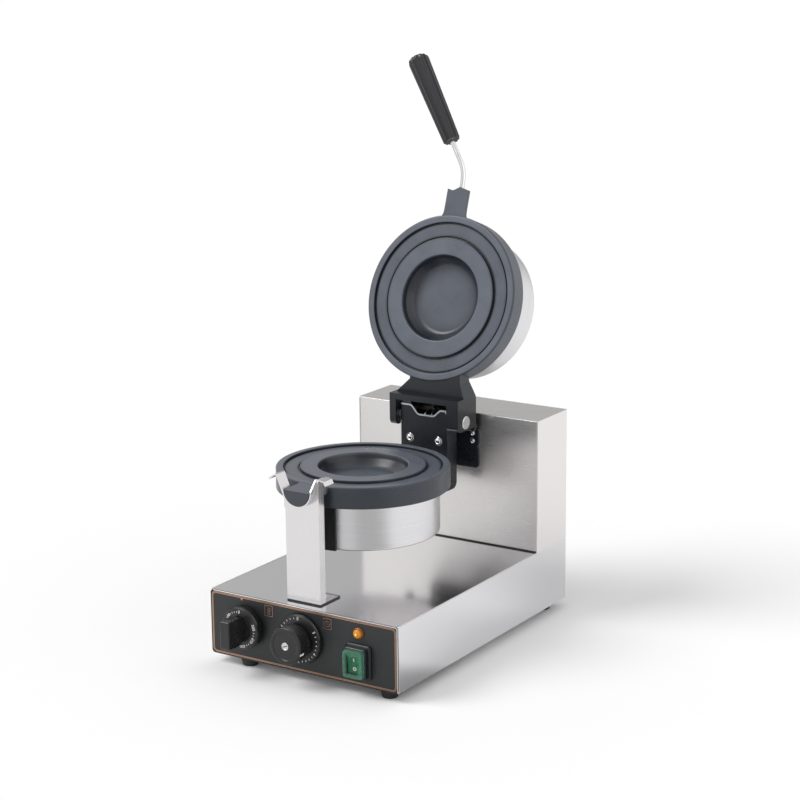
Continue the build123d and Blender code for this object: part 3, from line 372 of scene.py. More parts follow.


# where the pin's painted shade lies: its middle, half its dark length and its fade, in mm
pinForm = {"middle": -6.0, "paintedShadeHalf": 36.0, "fade": 1.5}
amberLight = {"Emission_Color": (1.0, 0.34, 0.02, 1), "Emission_Strength": 0.06}
glowLight = {"Emission_Color": (1.0, 0.55, 0.14, 1), "Emission_Strength": 0.30}
greenLight = {"Emission_Color": (0.0, 0.20, 0.08, 1), "Emission_Strength": 0.04}
finish = {
    "baseSteel": brushedSteel((0.77, 0.765, 0.78), 0.13, "Y", 0.02),
    "housingSteel": brushedSteel((0.80, 0.78, 0.765), 0.30, "X", 0.04),
    "supportSteel": brushedSteel((0.74, 0.725, 0.73), 0.26, "Z", 0.03),
    "drumSteel": ringBrushedSteel((0.74, 0.73, 0.745), 0.25),
    # the second colour is the dark of the plates' painted shade
    "plateCoat": castCoat((0.112, 0.126, 0.155), (0.005, 0.008, 0.013)),
    "hingeBlack": paintedMetal((0.010, 0.012, 0.016), 0.30),
    "strapBlack": paintedMetal((0.010, 0.010, 0.011), 0.36),
    "panelBlack": paintedMetal((0.018, 0.020, 0.021), 0.40, grain=1500.0, strength=0.05),
    # bright metal as a painted highlight along the bracket's top edge, also used for the pin's rings
    "wearAndPaintedHighlight": brightMetal((0.66, 0.70, 0.74), 0.34),
    # painted highlight: brighter than the sheet, for the folded edges and the panel's edge
    "paintedHighlightEdge": brightMetal((0.92, 0.91, 0.90), 0.30),
    "pinSteel": pinFinish((0.80, 0.80, 0.81), (0.045, 0.047, 0.05), **pinForm),
    "bakelite": moulded((0.016, 0.016, 0.019), 0.17),
    "knobBlack": moulded((0.014, 0.014, 0.015), 0.26),
    "rubber": moulded((0.018, 0.018, 0.018), 0.55, strength=0.15),
    "brightSteel": brightMetal((0.80, 0.80, 0.81)),
    "copperLine": brightMetal((0.62, 0.36, 0.24), 0.30),
    "whiteMark": moulded((0.90, 0.90, 0.88), 0.5),
    "switchBlack": moulded((0.010, 0.012, 0.015), 0.28),
    "bronze": brightMetal((0.55, 0.36, 0.16), 0.28),
    "wool": moulded((0.62, 0.60, 0.52), 0.9, grain=300.0, strength=0.4),
    "element": brightMetal((0.30, 0.28, 0.27), 0.38),
    "ceramic": moulded((0.70, 0.67, 0.60), 0.45),
    "badgeMetal": brightMetal((0.74, 0.74, 0.75), 0.22),
    "lampAmber": moulded((0.62, 0.24, 0.012), 0.10, **amberLight),
    "lampRing": moulded((0.26, 0.082, 0.012), 0.18),
    "lampGlow": moulded((0.95, 0.60, 0.20), 0.2, **glowLight),
    "rockerGreen": moulded((0.006, 0.112, 0.040), 0.20, **greenLight),
    "coverGreen": clearPlastic((0.10, 0.30, 0.20)),
}
for name, material in finish.items():
    material.name = name
print("stage: finishes")


# carried-over solids

cadFinish = {
    "baseSteel": ("base_housing", "bottom_plate"),
    "housingSteel": ("rear_housing", "rear_cover"),
    "supportSteel": ("front_support",),
    "panelBlack": ("front_panel",),
    "hingeBlack": (
        "lid_stop_pins", "hinge_bracket", "lid_yoke", "bearing_plate", "bearing_housing", "rear_bearing_bracket",
    ),
    "brightSteel": (
        "bottom_screws", "foot_screws", "housing_screws", "rear_cover_screws", "bearing_screws", "support_screws",
        "fixing_nuts", "panel_nuts", "rotor_shaft", "shaft_collar", "lug_screws", "hinge_washers",
        "lower_clamp_bolt", "upper_clamp_bolt", "yoke_screws", "handle_rod", "thermostat_spindle", "timer_spindle",
    ),
    "pinSteel": ("hinge_pin",),
    "bronze": ("front_bush", "rear_bush"),
    "rubber": ("feet",),
    "ceramic": ("thermostat_body", "timer_body", "terminal_block"),
    "switchBlack": ("pilot_lamp_body", "switch_housing", "cord_gland", "gland_nut"),
    "lampAmber": ("pilot_lamp_lens",),
    "coverGreen": ("switch_cover",),
    "rockerGreen": ("switch_rocker",),
    "knobBlack": ("thermostat_knob", "timer_dial", "timer_cap"),
    "badgeMetal": ("timer_badge",),
    "bakelite": ("handle_grip",),
    "plateCoat": ("lower_plate", "upper_plate"),
    "strapBlack": ("lower_strap", "upper_strap"),
    "drumSteel": ("lower_drum", "upper_drum"),
    "wool": ("lower_insulation", "upper_insulation"),
    "element": ("lower_element", "upper_element"),
}
for finishName, nodeNames in cadFinish.items():
    for nodeName in nodeNames:
        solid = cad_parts[nodeName]
        solid.data.materials.clear()
        solid.data.materials.append(finish[finishName])
print("stage: solids dressed")


# where the moving parts stand, in millimetres

places = {
    "front": -186.5, "rotorX": -6.0, "plateY": -53.2, "axisZ": 216.2, "hingeY": 87.0, "hingeZ": 239.8,
    "openAngle": 109.3, "knobZ": 51.0,
}
front, rotorX, axisZ, hingeY, hingeZ = pick(places, "front", "rotorX", "axisZ", "hingeY", "hingeZ")
onRotor = move(rotorX, places["plateY"], axisZ)
opening = move(0, hingeY, hingeZ) @ turn("X", -places["openAngle"]) @ move(0, -hingeY, -hingeZ)
onLid = opening @ onRotor @ turn("Y", 180)
onHinge = move(rotorX, 0, hingeZ)

# what faces the user looks along -Y: local x to the right, local y up, local z out to the user
facing = np.eye(4)
facing[:3, 0], facing[:3, 1], facing[:3, 2] = (1, 0, 0), (0, 0, 1), (0, -1, 0)


def onFace(x, z, out=0.0):
    return move(x, front - out, z) @ facing


# baking plates

plateForm = {
    "outer": 98.7, "rimInner": 90.3, "land": 71.2, "cavity": 51.5, "floor": 37.0, "crease": 41.0,
    "depth": 16.0, "groove": 2.5, "channel": 1.3, "channelWidth": 1.9, "height": 24.6, "web": 6.0, "gap": 0.2,
    "bowlShare": 0.80, "bowlRise": 9.5, "wallRun": 0.5,
    "skirt": 86.65, "tongue": 17.0, "reach": 130.0, "sides": 224,
    # painted shade on the coat, by radius on the face, darkest in the grooves and at the cavity's mouth: 1 is
    # unshaded, 0 is black
    "paintedShadeRadius": (
        0, 24, 33, 38.5, 42.5, 46.5, 50.4, 51.6, 52.4, 70.2,
        71.2, 73.4, 74.6, 87.2, 88.4, 90.2, 91.0, 97.0, 98.2, 98.7,
    ),
    "tone": (
        0.84, 0.84, 0.70, 0.46, 0.28, 0.12, 0.03, 0.80, 1.0, 1.0,
        0.10, 0.06, 0.80, 0.84, 0.08, 0.06, 1.0, 0.98, 0.46, 0.30,
    ),
    # painted light on the lid's sides, painted shade on the lower plate's sides and underside
    "paintedSideShade": {"lower": 0.26, "upper": 0.80},
    # painted shade on the tongue: its top lighter, its underside, end and root darker
    "paintedTongueShade": (0.78, 0.34, 0.34, 0.34),
}


def plateDisc(form, matrix, paintedSideShade):
    # profile of the casting: floor and bowl of the cavity, land, channel, groove, channel, rim, side wall, skirt
    outer, rim, land, cavity, crease = pick(form, "outer", "rimInner", "land", "cavity", "crease")
    wide, run, web, skirt, height = pick(form, "channelWidth", "wallRun", "web", "skirt", "height")
    face, low, deep = -form["gap"], -form["groove"], -form["depth"]
    channel = low - form["channel"]
    line = [
        (0, deep), (crease, deep), (crease + (cavity - crease) * form["bowlShare"], deep + form["bowlRise"]),
        (cavity, face), (land, face), (land + run, channel), (land + wide, channel), (land + wide + run, low),
        (rim - wide - run, low), (rim - wide, channel), (rim - 0.3, channel), (rim, face),
        (outer, face), (outer, -height), (skirt, -height), (skirt, low - web), (cavity + web, low - web),
        (form["floor"] + web, deep - web), (0, deep - web),
    ]
    radii = [0, 8.0, 6.0, 1.3, 0.6, 0.4, 0.4, 0.4, 0.4, 0.4, 0.4, 0.8, 1.7, 1.2, 0.3, 0.3, 4, 9, 0]
    profile = finer(corners(line, radii, 5), 2.5)
    upper = profile[:, 1] > deep - 1.0
    # painted shade by radius on the face; the side wall, skirt and underside take the painted side shade
    tone = np.interp(profile[:, 0], form["paintedShadeRadius"], form["tone"])
    tone = np.where(upper & ((profile[:, 1] > channel - 0.05) | (profile[:, 0] < cavity)), tone, paintedSideShade)
    return placed(turned(profile, form["sides"]), matrix), tone


def tongueGrids(form, matrix, halfWidth, endOf):
    # half a round bar: x = -w cos a, the top flat, the underside at z = -r sin a, the end at y = -endOf(x);
    # w is the half width, growing at the root as 1 + flare * exp(-distance / length), where the bar leaves the rim
    a = np.linspace(0, np.pi, 49)
    x = -halfWidth * np.cos(a)
    under = -np.maximum(form["tongue"] * np.sin(a), form["gap"])
    start = -np.sqrt(form["outer"] ** 2 - x**2) + 1.6
    t = (np.linspace(0, 1, 30)[:, None]) ** 1.6
    y = start + t * (-endOf(x) - start)
    flare = 1 + 0.24 * np.exp(-(start - y) / 2.6)
    drop = -form["gap"] - 0.25 - 0.5 * np.exp(-(start - y) / 1.5)
    top = np.stack([x * flare, y, drop + 0 * y], -1)
    low = np.stack([x * flare, y, np.minimum(under, drop)], -1)
    s = np.linspace(0, 1, 9)[:, None, None]
    end, root = (low[row] * s + top[row] * (1 - s) for row in (slice(-1, None), slice(0, 1)))
    return [placed(g, matrix) for g in (top, low, end, root)]


def squareEnd(x):
    return plateForm["reach"] + 0 * x


def peakedEnd(x):
    # a corner at each side, a shallow dip on one, and a peak with hollow flanks where the rod leaves; the height
    # is base + 4.4 * exp(-(distance from the peak, rounded) / 3.6) - 1.5 * exp(-((x - dip) / 3.4)^2)
    off = np.sqrt((x + 2.4) ** 2 + 0.8)
    return plateForm["reach"] - 0.6 + 4.4 * np.exp(-off / 3.6) - 1.5 * np.exp(-(((x - 7.0) / 3.4) ** 2))


for name, body, matrix, node, halfWidth, endOf in (
    ("lower", "rotor", onRotor, "lower_plate", plateForm["tongue"], squareEnd),
    ("upper", "lid", onLid, "upper_plate", 14.1, peakedEnd),
):
    # the lid's sides take painted light, the lower plate's sides painted shade
    disc, tone = plateDisc(plateForm, matrix, plateForm["paintedSideShade"][name])
    addPiece(name + "Plate", [disc], body, "coated_casting", "plateCoat", [node], 28, [tone])
    tongue = tongueGrids(plateForm, matrix, halfWidth, endOf)
    # the tongue's rows carry painted shade, darker under it
    addPiece(
        name + "Tongue", tongue, body, "coated_casting", "plateCoat", [node], 40, plateForm["paintedTongueShade"], bevel=0.5,
    )
print("stage: plates")


# drums

drumForm = {"radius": 86.6, "low": -76.0, "top": -8.8, "wall": 1.2, "edge": 2.5, "boltHole": 3.1, "sides": 192}


def drumShell(matrix, radius, low, top, wall, edge, boltHole, sides):
    # a pressed cup: outer wall, rounded lower edge, bottom, and the same line again one sheet further in
    line = [
        (boltHole, low), (radius, low), (radius, top), (radius - wall, top), (radius - wall, low + wall),
        (boltHole, low + wall), (boltHole, low),
    ]
    line = corners(line, [0, edge, 0.3, 0.3, edge - wall, 0, 0], 6)
    return placed(turned(finer(line, 9.0), sides), matrix)


for name, body, matrix, node in (
    ("lowerDrum", "rotor", onRotor, "lower_drum"), ("upperDrum", "lid", onLid, "upper_drum"),
):
    addPiece(name, [drumShell(matrix, **drumForm)], body, "stainless", "drumSteel", [node])
print("stage: drums")


# handle

rodForm = {
    "offset": 8.0, "radius": 3.0, "corner": 153.3, "turn": 34.8, "bend": 45.0,
    "toGrip": 43.0, "inTongue": 20.0, "inGrip": 20.0,
}
gripForm = {
    "length": 119.0, "inner": 10.5, "outer": 13.3, "flutes": 12, "fluteDepth": 1.5, "fluteWidth": 0.16,
    "domeFrom": 0.945, "domeShape": 2.4, "crown": 2.3,
}


def rodHeading(form):
    lean = math.radians(form["turn"])
    return np.array([-math.sin(lean), -math.cos(lean)])


def gripFrame(form):
    # the grip's own frame: its middle line along local Z, starting where the rod enters
    along = np.append(rodHeading(form), 0)
    m = np.eye(4)
    m[:3, 0], m[:3, 1], m[:3, 2] = (0, 0, 1), np.cross(along, (0, 0, 1)), along
    m[:3, 3] = np.array([0, -form["corner"], form["offset"]]) + along * form["toGrip"]
    return m


def handleRod(form):
    # a round section carried along two straight runs and the arc between them
    start = np.array([0, -plateForm["reach"] + form["inTongue"]])
    bend = np.array([0, -form["corner"]])
    end = bend + rodHeading(form) * (form["toGrip"] + form["inGrip"])
    line = finer(corners([start, bend, end], [0, form["bend"], 0], 16), 6.0)
    ahead = np.gradient(line, axis=0)
    ahead /= np.linalg.norm(ahead, axis=1, keepdims=True)
    a = around(24)
    side = np.stack([-ahead[:, 1], ahead[:, 0]], -1)
    flat = line[:, None] + side[:, None] * (form["radius"] * np.cos(a))[None, :, None]
    rise = (form["offset"] + form["radius"] * np.sin(a))[None, :, None]
    return capped(np.concatenate([flat, np.broadcast_to(rise, (*flat.shape[:2], 1))], -1))


def gripSurface(length, inner, outer, flutes, fluteDepth, fluteWidth, domeFrom, domeShape, crown):
    # a tapered bar with grooves: r = taper(s) - depth * exp(-(angle from groove / width)^2),
    # faded out over the domed end, the mouth and the end each closed by rings drawn in to the middle
    s = np.concatenate([np.linspace(0, 0.03, 8), np.linspace(0.03, 0.94, 40)[1:], np.linspace(0.94, 1, 18)[1:]])
    a = around(40 * flutes)
    step = 2 * np.pi / flutes
    near = (a / step - np.round(a / step)) * step
    groove = np.exp(-((near / fluteWidth) ** 2)) * fluteDepth
    taper = inner + (outer - inner) * s
    dome = np.sqrt(np.clip(1 - np.clip((s - domeFrom) / (1 - domeFrom), 0, 1) ** domeShape, 0, 1))
    lip = 1 - 0.10 * np.clip(1 - s / 0.012, 0, 1) ** 2
    r = (taper * lip * (0.72 + 0.28 * dome))[:, None] - groove * (0.15 + 0.85 * dome[:, None])
    wall = carriedRound(r, s[:, None] * length, a)
    inward, outward = np.linspace(1, 0, 8)[:, None], np.linspace(0, 1, 5)[:, None]
    end = wall[-1:] * np.array([1, 1, 0]) * inward[..., None]
    end[..., 2] = length + crown * (1 - inward**2)
    mouth = wall[:1] * np.array([1, 1, 0]) * outward[..., None]
    mouth[..., 2] = 0.6 * (1 - outward)
    return np.concatenate([mouth[:-1], wall, end[1:]])


handleOnLid = opening @ onRotor
rod = placed(handleRod(rodForm), handleOnLid)
addPiece("handleRod", [rod], "lid", "bright_steel", "brightSteel", ["handle_rod"])
grip = placed(gripSurface(**gripForm), handleOnLid @ gripFrame(rodForm))
addPiece("handleGrip", [grip], "lid", "bakelite", "bakelite", ["handle_grip"], 50)
print("stage: handle")


# words and marks


def wordVerts(text, size, matrix, lift):
    # a figure's outline as a thin flat plate, turned into a mesh before it is placed
    curve = bpy.data.curves.new("figure", "FONT")
    curve.body = text
    curve.size = size
    curve.align_x = "CENTER"
    curve.align_y = "CENTER"
    curve.extrude = lift
    curve.resolution_u = 3
    holder = bpy.data.objects.new("figure", curve)
    mesh = bpy.data.meshes.new_from_object(holder)
    verts = np.empty(len(mesh.vertices) * 3)
    mesh.vertices.foreach_get("co", verts)
    faces = [list(p.vertices) for p in mesh.polygons]
    bpy.data.objects.remove(holder)
    bpy.data.curves.remove(curve)
    bpy.data.meshes.remove(mesh)
    return placed(verts.reshape(-1, 3), matrix), faces


def addMarks(name, body, parts):
    verts, faces, start = [], [], 0
    for partVerts, partFaces in parts:
        verts.append(partVerts)
        faces += [[i + start for i in face] for face in partFaces]
        start += len(partVerts)
    dress(newObject(name, np.concatenate(verts), faces), body, "whiteMark")


def flatLine(points, width, matrix, lift, closed=False):
    line = np.asarray(points, float)
    if line.shape[1] == 2:
        line = np.concatenate([line, np.zeros((len(line), 1))], 1)
    return placed(ribbon(line, width, lift, (0, 0, 1), closed), matrix)


def circleLine(radius, centre):
    a = around(28)
    return np.stack([centre[0] + radius * np.cos(a), centre[1] + radius * np.sin(a)], -1)


def roundedBox(halfX, halfY, radius, steps=8):
    # a closed rectangle line with round corners, starting and ending in the middle of its lower side
    line = [(0, -halfY), (halfX, -halfY), (halfX, halfY), (-halfX, halfY), (-halfX, -halfY), (0, -halfY)]
    flat = corners(line, [0, radius, radius, radius, radius, 0], steps)
    return np.concatenate([flat, np.zeros((len(flat), 1))], 1)


borderForm = {
    "halfX": 125.0, "halfZ": 37.5, "low": 11.0, "insets": (2.1, 3.25), "line": 0.62, "corner": 6.0, "lift": 0.12,
}
iconForm = {
    "line": 0.5, "halfX": 5.2, "halfZ": 6.0, "thermometer": (-44.4, 74.2), "clock": (34.2, 73.7), "lift": 0.10,
}
triangleForm = {"places": ((-81.4, 82.7), (74.9, 84.7)), "half": 2.0, "drop": 3.2}


def borderGrids(halfX, halfZ, low, insets, line, corner, lift):
    boxes = [roundedBox(halfX - inset, halfZ - inset, corner - inset * 0.6) for inset in insets]
    return [flatLine(box, line, onFace(0, low + halfZ), lift, closed=True) for box in boxes]


def iconGrids(line, halfX, halfZ, thermometer, clock, lift):
    # each picture is a frame with a few strokes in it, given as points, whether they close, and a share of the width
    frameLine = (roundedBox(halfX, halfZ, 0.6), True, 1)
    tube = ([(-0.8, -1.2), (-0.8, 3.6), (0.8, 3.6), (0.8, -1.2)], False, 1)
    levels = [([(1.6, level), (3.0, level)], False, 0.8) for level in (0.2, 1.6, 3.0)]
    hands = ([(0, 1.9), (0, -0.2), (1.6, -1.0)], False, 1)
    pictures = (
        (thermometer, [frameLine, (circleLine(1.5, (0, -2.6)), True, 1), tube, *levels]),
        (clock, [frameLine, (circleLine(3.2, (0, -0.2)), True, 1), hands]),
    )
    return [
        flatLine(points, line * share, onFace(*place), lift, closed)
        for place, strokes in pictures for points, closed, share in strokes
    ]


def triangleGrids(x, z, form):
    # a filled pointer: rows shrink from its upper edge to its lower tip
    t = np.linspace(0, 1, 5)[:, None]
    s = np.linspace(-1, 1, 5)
    lift = borderForm["lift"] / 2
    flat = np.stack([s * form["half"] * (1 - t), -form["drop"] * t + 0 * s, lift + 0 * s * t], -1)
    back = flat * np.array([1, 1, -1])
    rim = [np.stack(pair) for pair in ((flat[:, 0], back[:, 0]), (flat[:, -1], back[:, -1]), (flat[0], back[0]))]
    return [placed(g, onFace(x, z)) for g in (flat, back, *rim)]


marks = borderGrids(**borderForm) + iconGrids(**iconForm)
for x, z in triangleForm["places"]:
    marks += triangleGrids(x, z, triangleForm)
addPiece("panelMarks", marks, "base", "panel_black", "copperLine", sharpAngle=40)
print("stage: panel marks")


# knobs

boltRadius = 3.05
thermostatForm = {
    "x": -76.0, "gap": 1.5, "radius": 24.8, "depth": 11.5, "barWidth": 13.0, "barHeight": 33.0, "barDepth": 27.0,
    "figures": ("0", "50", "100", "150", "200", "250", "300"),
    "sweep": 285.0, "figureRadius": 19.8, "figureSize": 4.9,
}
timerForm = {
    "x": 0.0, "gap": 1.5, "radius": 28.5, "depth": 6.0, "figures": ("0", "1", "2", "3", "4", "5"),
    "sweep": 300.0, "figureRadius": 24.6, "figureSize": 5.0,
}
stemForm = {"radius": 12.0, "from": 2.7, "top": 10.5}
capForm = {"radius": 21.0, "depth": 20.0, "ribs": 60, "rib": 0.5, "dish": 1.0, "dishRadius": 15.5, "land": 16.5}
pointerForm = {"from": 12.5, "to": 19.0, "sink": 0.3, "proud": 0.12, "sides": 160, "angle": 18}
slotForm = {"line": ((-2.6, -1.0), (2.6, 1.0)), "width": 1.0, "out": 0.42, "lift": 0.2}


def knobFrame(form, out):
    return onFace(form["x"], places["knobZ"], form["gap"] + out)


def skirtGrid(form):
    # a dished skirt with a rolled edge and a hollow back, turned round the spindle
    radius, depth = pick(form, "radius", "depth")
    inner = depth - 3.4
    line = [
        (boltRadius, depth), (radius - 9.5, depth), (radius - 1.0, depth - 1.1), (radius, depth - 3.2),
        (radius - 0.9, 0.0), (radius - 2.6, 0.0), (radius - 4.0, inner), (boltRadius, inner), (boltRadius, depth),
    ]
    return turned(finer(corners(line, [0, 1.2, 1.2, 0.8, 0.5, 0.5, 0.8, 0.3, 0], 4), 5.0), 144)


def dialMarks(form, sink, slope):
    # figures stand round the dial, 0 at the top and rising anticlockwise, with four ticks between each two
    out, radius = form["depth"] - sink, form["figureRadius"]
    steps = (len(form["figures"]) - 1) * 5
    parts, ticks = [], []
    for k in range(steps + 1):
        m = knobFrame(form, out) @ turn("Z", form["sweep"] * k / steps)
        if k % 5:
            tick = flatLine([(0, radius - 1.0), (0, radius + 0.9)], 0.6, m, 0.2)
            ticks.append((tick.reshape(-1, 3), gridFaces(*tick.shape[:2], 0).tolist()))
        else:
            upright = m @ move(0, radius, 0) @ turn("X", -slope)
            parts.append(wordVerts(form["figures"][k // 5], form["figureSize"], upright, 0.10))
    return parts + ticks


def barGrid(form):
    # the finger bar: its outline seen from the side is a D, round where it meets the skirt; carried across its width
    half, depth = form["barHeight"] / 2, form["barDepth"]
    line = [(0, depth), (half, depth), (half, -1.0), (-half, -1.0), (-half, depth), (0, depth)]
    flat = corners(line, [0, 2.2, 9.0, 9.0, 2.2, 0], 8)
    across = np.array([-1.0, -0.86, 0.86, 1.0])[:, None, None]
    inset = np.array([0.93, 1.0, 1.0, 0.93])[:, None, None]
    middle = np.array([0, depth / 2])
    x = np.broadcast_to(across * form["barWidth"] / 2, (4, len(flat), 1))
    return capped(np.concatenate([x, (flat - middle) * inset + middle], -1))


def capGrid(radius, depth, ribs, rib, dish, dishRadius, land):
    # a round cap with fine ribs up its side: r = cap - rib * wave, fading out at the face
    line = [
        (boltRadius, 0), (radius - 0.8, 0), (radius, depth), (land, depth - 0.2), (dishRadius, depth - dish),
        (boltRadius, depth - dish), (boltRadius, 0),
    ]
    line = finer(corners(line, [0, 0.5, 1.6, 0.6, 0.6, 0, 0], 6), 4.0)
    r, h = line[:, :1], line[:, 1:]
    a = around(ribs * 8)
    onSide = np.clip((r - (radius - 1.6)) / 0.8, 0, 1) * np.clip((depth - 2.0 - h) / 1.5, 0, 1)
    wave = rib * (0.5 + 0.5 * np.cos(a * ribs)) ** 2
    return carriedRound(r - onSide * wave, h, a)


def pointerGrid(form):
    # a narrow bar up the cap's side: a slice of a turned strip, at its angle from the right
    inner, outer = capForm["radius"] - form["sink"], capForm["radius"] + form["proud"]
    low, high = form["from"], form["to"]
    strip = turned(np.array([(inner, low), (outer, low), (outer, high), (inner, high), (inner, low)]), form["sides"])
    at = int(form["sides"] * (1 - form["angle"] / 360))
    return capped(strip[:, at - 2:at + 2].transpose(1, 0, 2))


def badgeGrid():
    # a plain pressed disc with a rolled rim
    line = [(0, 0.35), (3.2, 0.35), (3.6, 0.75), (4.5, 0.75), (4.5, 0), (0, 0)]
    return turned(corners(line, [0, 0.2, 0.2, 0.3, 0, 0], 4), 72)


onDial = knobFrame(thermostatForm, 0)
onSkirt = knobFrame(thermostatForm, thermostatForm["depth"])
thermostat = ("temperature_knob", "bakelite", "knobBlack", ["thermostat_knob"], 34)
addPiece("thermostatDial", [placed(skirtGrid(thermostatForm), onDial)], *thermostat)
addPiece("thermostatBar", [placed(barGrid(thermostatForm), onSkirt)], *thermostat, bevel=0.8)
addMarks("thermostatFigures", "temperature_knob", dialMarks(thermostatForm, sink=0.35, slope=7.0))

stem = [(boltRadius, stemForm["from"]), (stemForm["radius"], stemForm["from"])]
stem += [(stemForm["radius"], stemForm["top"]), (boltRadius, stemForm["top"]), stem[0]]
onTimer, onStem = knobFrame(timerForm, 0), knobFrame(timerForm, stemForm["top"])
dial = [placed(skirtGrid(timerForm), onTimer), placed(turned(corners(stem, 0), 96), onTimer)]
addPiece("timerDial", dial, "timer_knob", "bakelite", "knobBlack", ["timer_dial"], 34)
addMarks("timerFigures", "timer_knob", dialMarks(timerForm, sink=0.25, slope=6.0))
cap = placed(capGrid(**capForm), onStem)
addPiece("timerCap", [cap], "timer_knob", "bakelite", "knobBlack", ["timer_cap"], 40)
addPiece("timerPointer", [placed(pointerGrid(pointerForm), onStem)], "timer_knob", "bakelite", "whiteMark")
onCap = knobFrame(timerForm, stemForm["top"] + capForm["depth"] - capForm["dish"])
addPiece("timerBadge", [placed(badgeGrid(), onCap)], "timer_knob", "badge", "badgeMetal", ["timer_badge"], 34)
slot = flatLine(slotForm["line"], slotForm["width"], onCap @ move(0, 0, slotForm["out"]), slotForm["lift"])
addPiece("timerBadgeSlot", [slot], "timer_knob", "badge", "knobBlack")
print("stage: knobs")


# pilot lamp and rocker switch

lampForm = {"x": 75.5, "z": 71.0, "flange": 6.3, "lens": 4.7, "height": 6.2, "foot": 2.6, "rings": 3, "glow": 1.3}


def lensGrid(form):
    # a stepped jewel: the lens narrows in rings towards its crown
    lens, foot = pick(form, "lens", "foot")
    r = np.linspace(lens, 0.0, 41)
    rise = foot + (form["height"] - foot) * np.sqrt(np.clip(1 - (r / (lens + 0.3)) ** 2, 0, 1))
    rise = rise + 0.16 * np.cos(r / lens * form["rings"] * 2 * np.pi)
    return turned(np.concatenate([[(0, 0.0), (lens, 0.0)], np.stack([r, rise], -1)]), 72)


def bezelGrid(form):
    inner, flange = form["lens"] + 0.05, form["flange"]
    line = [(inner, 0), (flange, 0), (flange, 1.8), (form["lens"] + 0.5, 2.8), (inner, 2.4), (inner, 0)]
    return turned(corners(line, [0, 0, 0.5, 0.4, 0.1, 0], 4), 72)


def glowGrid(form):
    # a small low dome sunk a little into the crown
    line = form["glow"] * np.array([(0, 0), (1, 0), (0.9, 0.12), (0.5, 0.24), (0, 0.3)])
    return turned(line + np.array([0, form["height"] - 0.1]), 40)


for name, gridOf, finishName, nodes, sharpAngle in (
    ("lampLens", lensGrid, "lampAmber", ["pilot_lamp_lens"], 40),
    ("lampBezel", bezelGrid, "lampRing", ["pilot_lamp_lens"], 34),
    ("lampGlow", glowGrid, "lampGlow", (), 40),
):
    grid = placed(gridOf(lampForm), onFace(lampForm["x"], lampForm["z"]))
    addPiece(name, [grid], "base", "lamp_amber", finishName, nodes, sharpAngle)

switchForm = {
    "x": 75.5, "z": 39.0, "pivot": 3.0, "tilt": 7.0, "valley": 6.2, "mark": 5.95,
    "flange": (16.5, 19.5), "body": (14.0, 17.0), "cover": (12.5, 15.5), "window": (6.5, 8.5), "rocker": (9.1, 11.1),
    # each level has its outline, the inset from it, the corner radius and the distance out
    "collarLevels": (
        ("flange", 0, 4.0, 0.0), ("flange", 0, 4.0, 2.2), ("flange", 0.8, 3.6, 3.0), ("body", -0.1, 3.0, 3.3),
        ("body", 0, 3.0, 8.3), ("body", 0.7, 2.6, 9.0), ("cover", 2.0, 1.0, 9.0), ("cover", 2.4, 1.0, 8.6),
        ("cover", 2.9, 1.0, -20.0), ("cover", 1.4, 1.0, -20.0), ("cover", 1.4, 1.0, 0.0), ("flange", 0, 4.0, 0.0),
    ),
    "coverLevels": (
        ("cover", 0, 3.5, 9.05), ("cover", 0, 3.5, 13.0), ("cover", 0.5, 3.2, 14.4), ("cover", 1.8, 2.4, 15.0),
        ("window", 0, 1.5, 15.0),
    ),
    "liningLevels": (
        ("window", 0, 1.5, 14.3), ("cover", 2.2, 2.0, 14.3), ("cover", 1.1, 2.6, 13.6), ("cover", 0.8, 2.8, 9.05),
    ),
    # how much each ring of the cover hides: outside, lining and the edge that joins them
    "hidden": ((0.45, 0.45, 0.60, 0.42, 0.05, 0.05), (0.02, 0.02, 0.10, 0.10, 0.10), (0.4, 0.4)),
}


def blockRings(form, levels):
    # rounded rectangles stacked towards the user
    return np.stack([
        roundedBox(form[outline][0] - inset, form[outline][1] - inset, corner) + np.array([0, 0, out])
        for outline, inset, corner, out in form[levels]
    ])


def rockerGrids(halfX, halfZ):
    # the rocker's two faces meet in a shallow valley; its depth is a function of height alone
    y = np.linspace(-halfZ, halfZ, 25)
    x = np.linspace(-halfX, halfX, 13)
    out = 5.3 + 1.2 * np.abs(y) / halfZ
    face = np.stack(np.broadcast_arrays(x[None], y[:, None], out[:, None]), -1)
    back = face * np.array([0.96, 0.9, 0]) + np.array([0, 0, -4.6])
    sides = [np.stack([face[:, k], back[:, k]]) for k in (0, -1)]
    return [face, back, *sides, *(np.stack([face[k], back[k]]) for k in (0, -1))]


onSwitch = onFace(switchForm["x"], switchForm["z"])
collar = placed(blockRings(switchForm, "collarLevels"), onSwitch)
addPiece("switchCollar", [collar], "base", "switch_black", "switchBlack", ["switch_housing"], 34)
cover, lining = blockRings(switchForm, "coverLevels"), blockRings(switchForm, "liningLevels")
cover = [placed(g, onSwitch) for g in (
    capped(cover)[1:], capped(lining)[:-1], np.concatenate([lining[-1:], cover[:1]]),
)]
addPiece("switchCover", cover, "base", "clear_cover", "coverGreen", ["switch_cover"], 34, switchForm["hidden"])

pivot = onFace(switchForm["x"], switchForm["z"], switchForm["pivot"]) @ turn("X", switchForm["tilt"])
rocker = [placed(g, pivot) for g in rockerGrids(*switchForm["rocker"])]
addPiece("switchRocker", rocker, "power_switch", "switch_green", "rockerGreen", ["switch_rocker"], bevel=0.5)
upperFace, lowerFace = (pivot @ move(0, 0, switchForm["mark"]) @ turn("X", k * switchForm["valley"]) for k in (1, -1))
onOff = [
    flatLine([(0, 3.6), (0, 7.4)], 0.9, upperFace, 0.5),
    flatLine(circleLine(1.7, (0, -5.4)), 0.8, lowerFace, 0.5, closed=True),
]
addPiece("switchMarks", onOff, "power_switch", "switch_green", "whiteMark")
print("stage: lamp and switch")


# feet

footPlaces = [(x, y) for x in (-83.0, 105.0) for y in (-171.5, 163.5)]


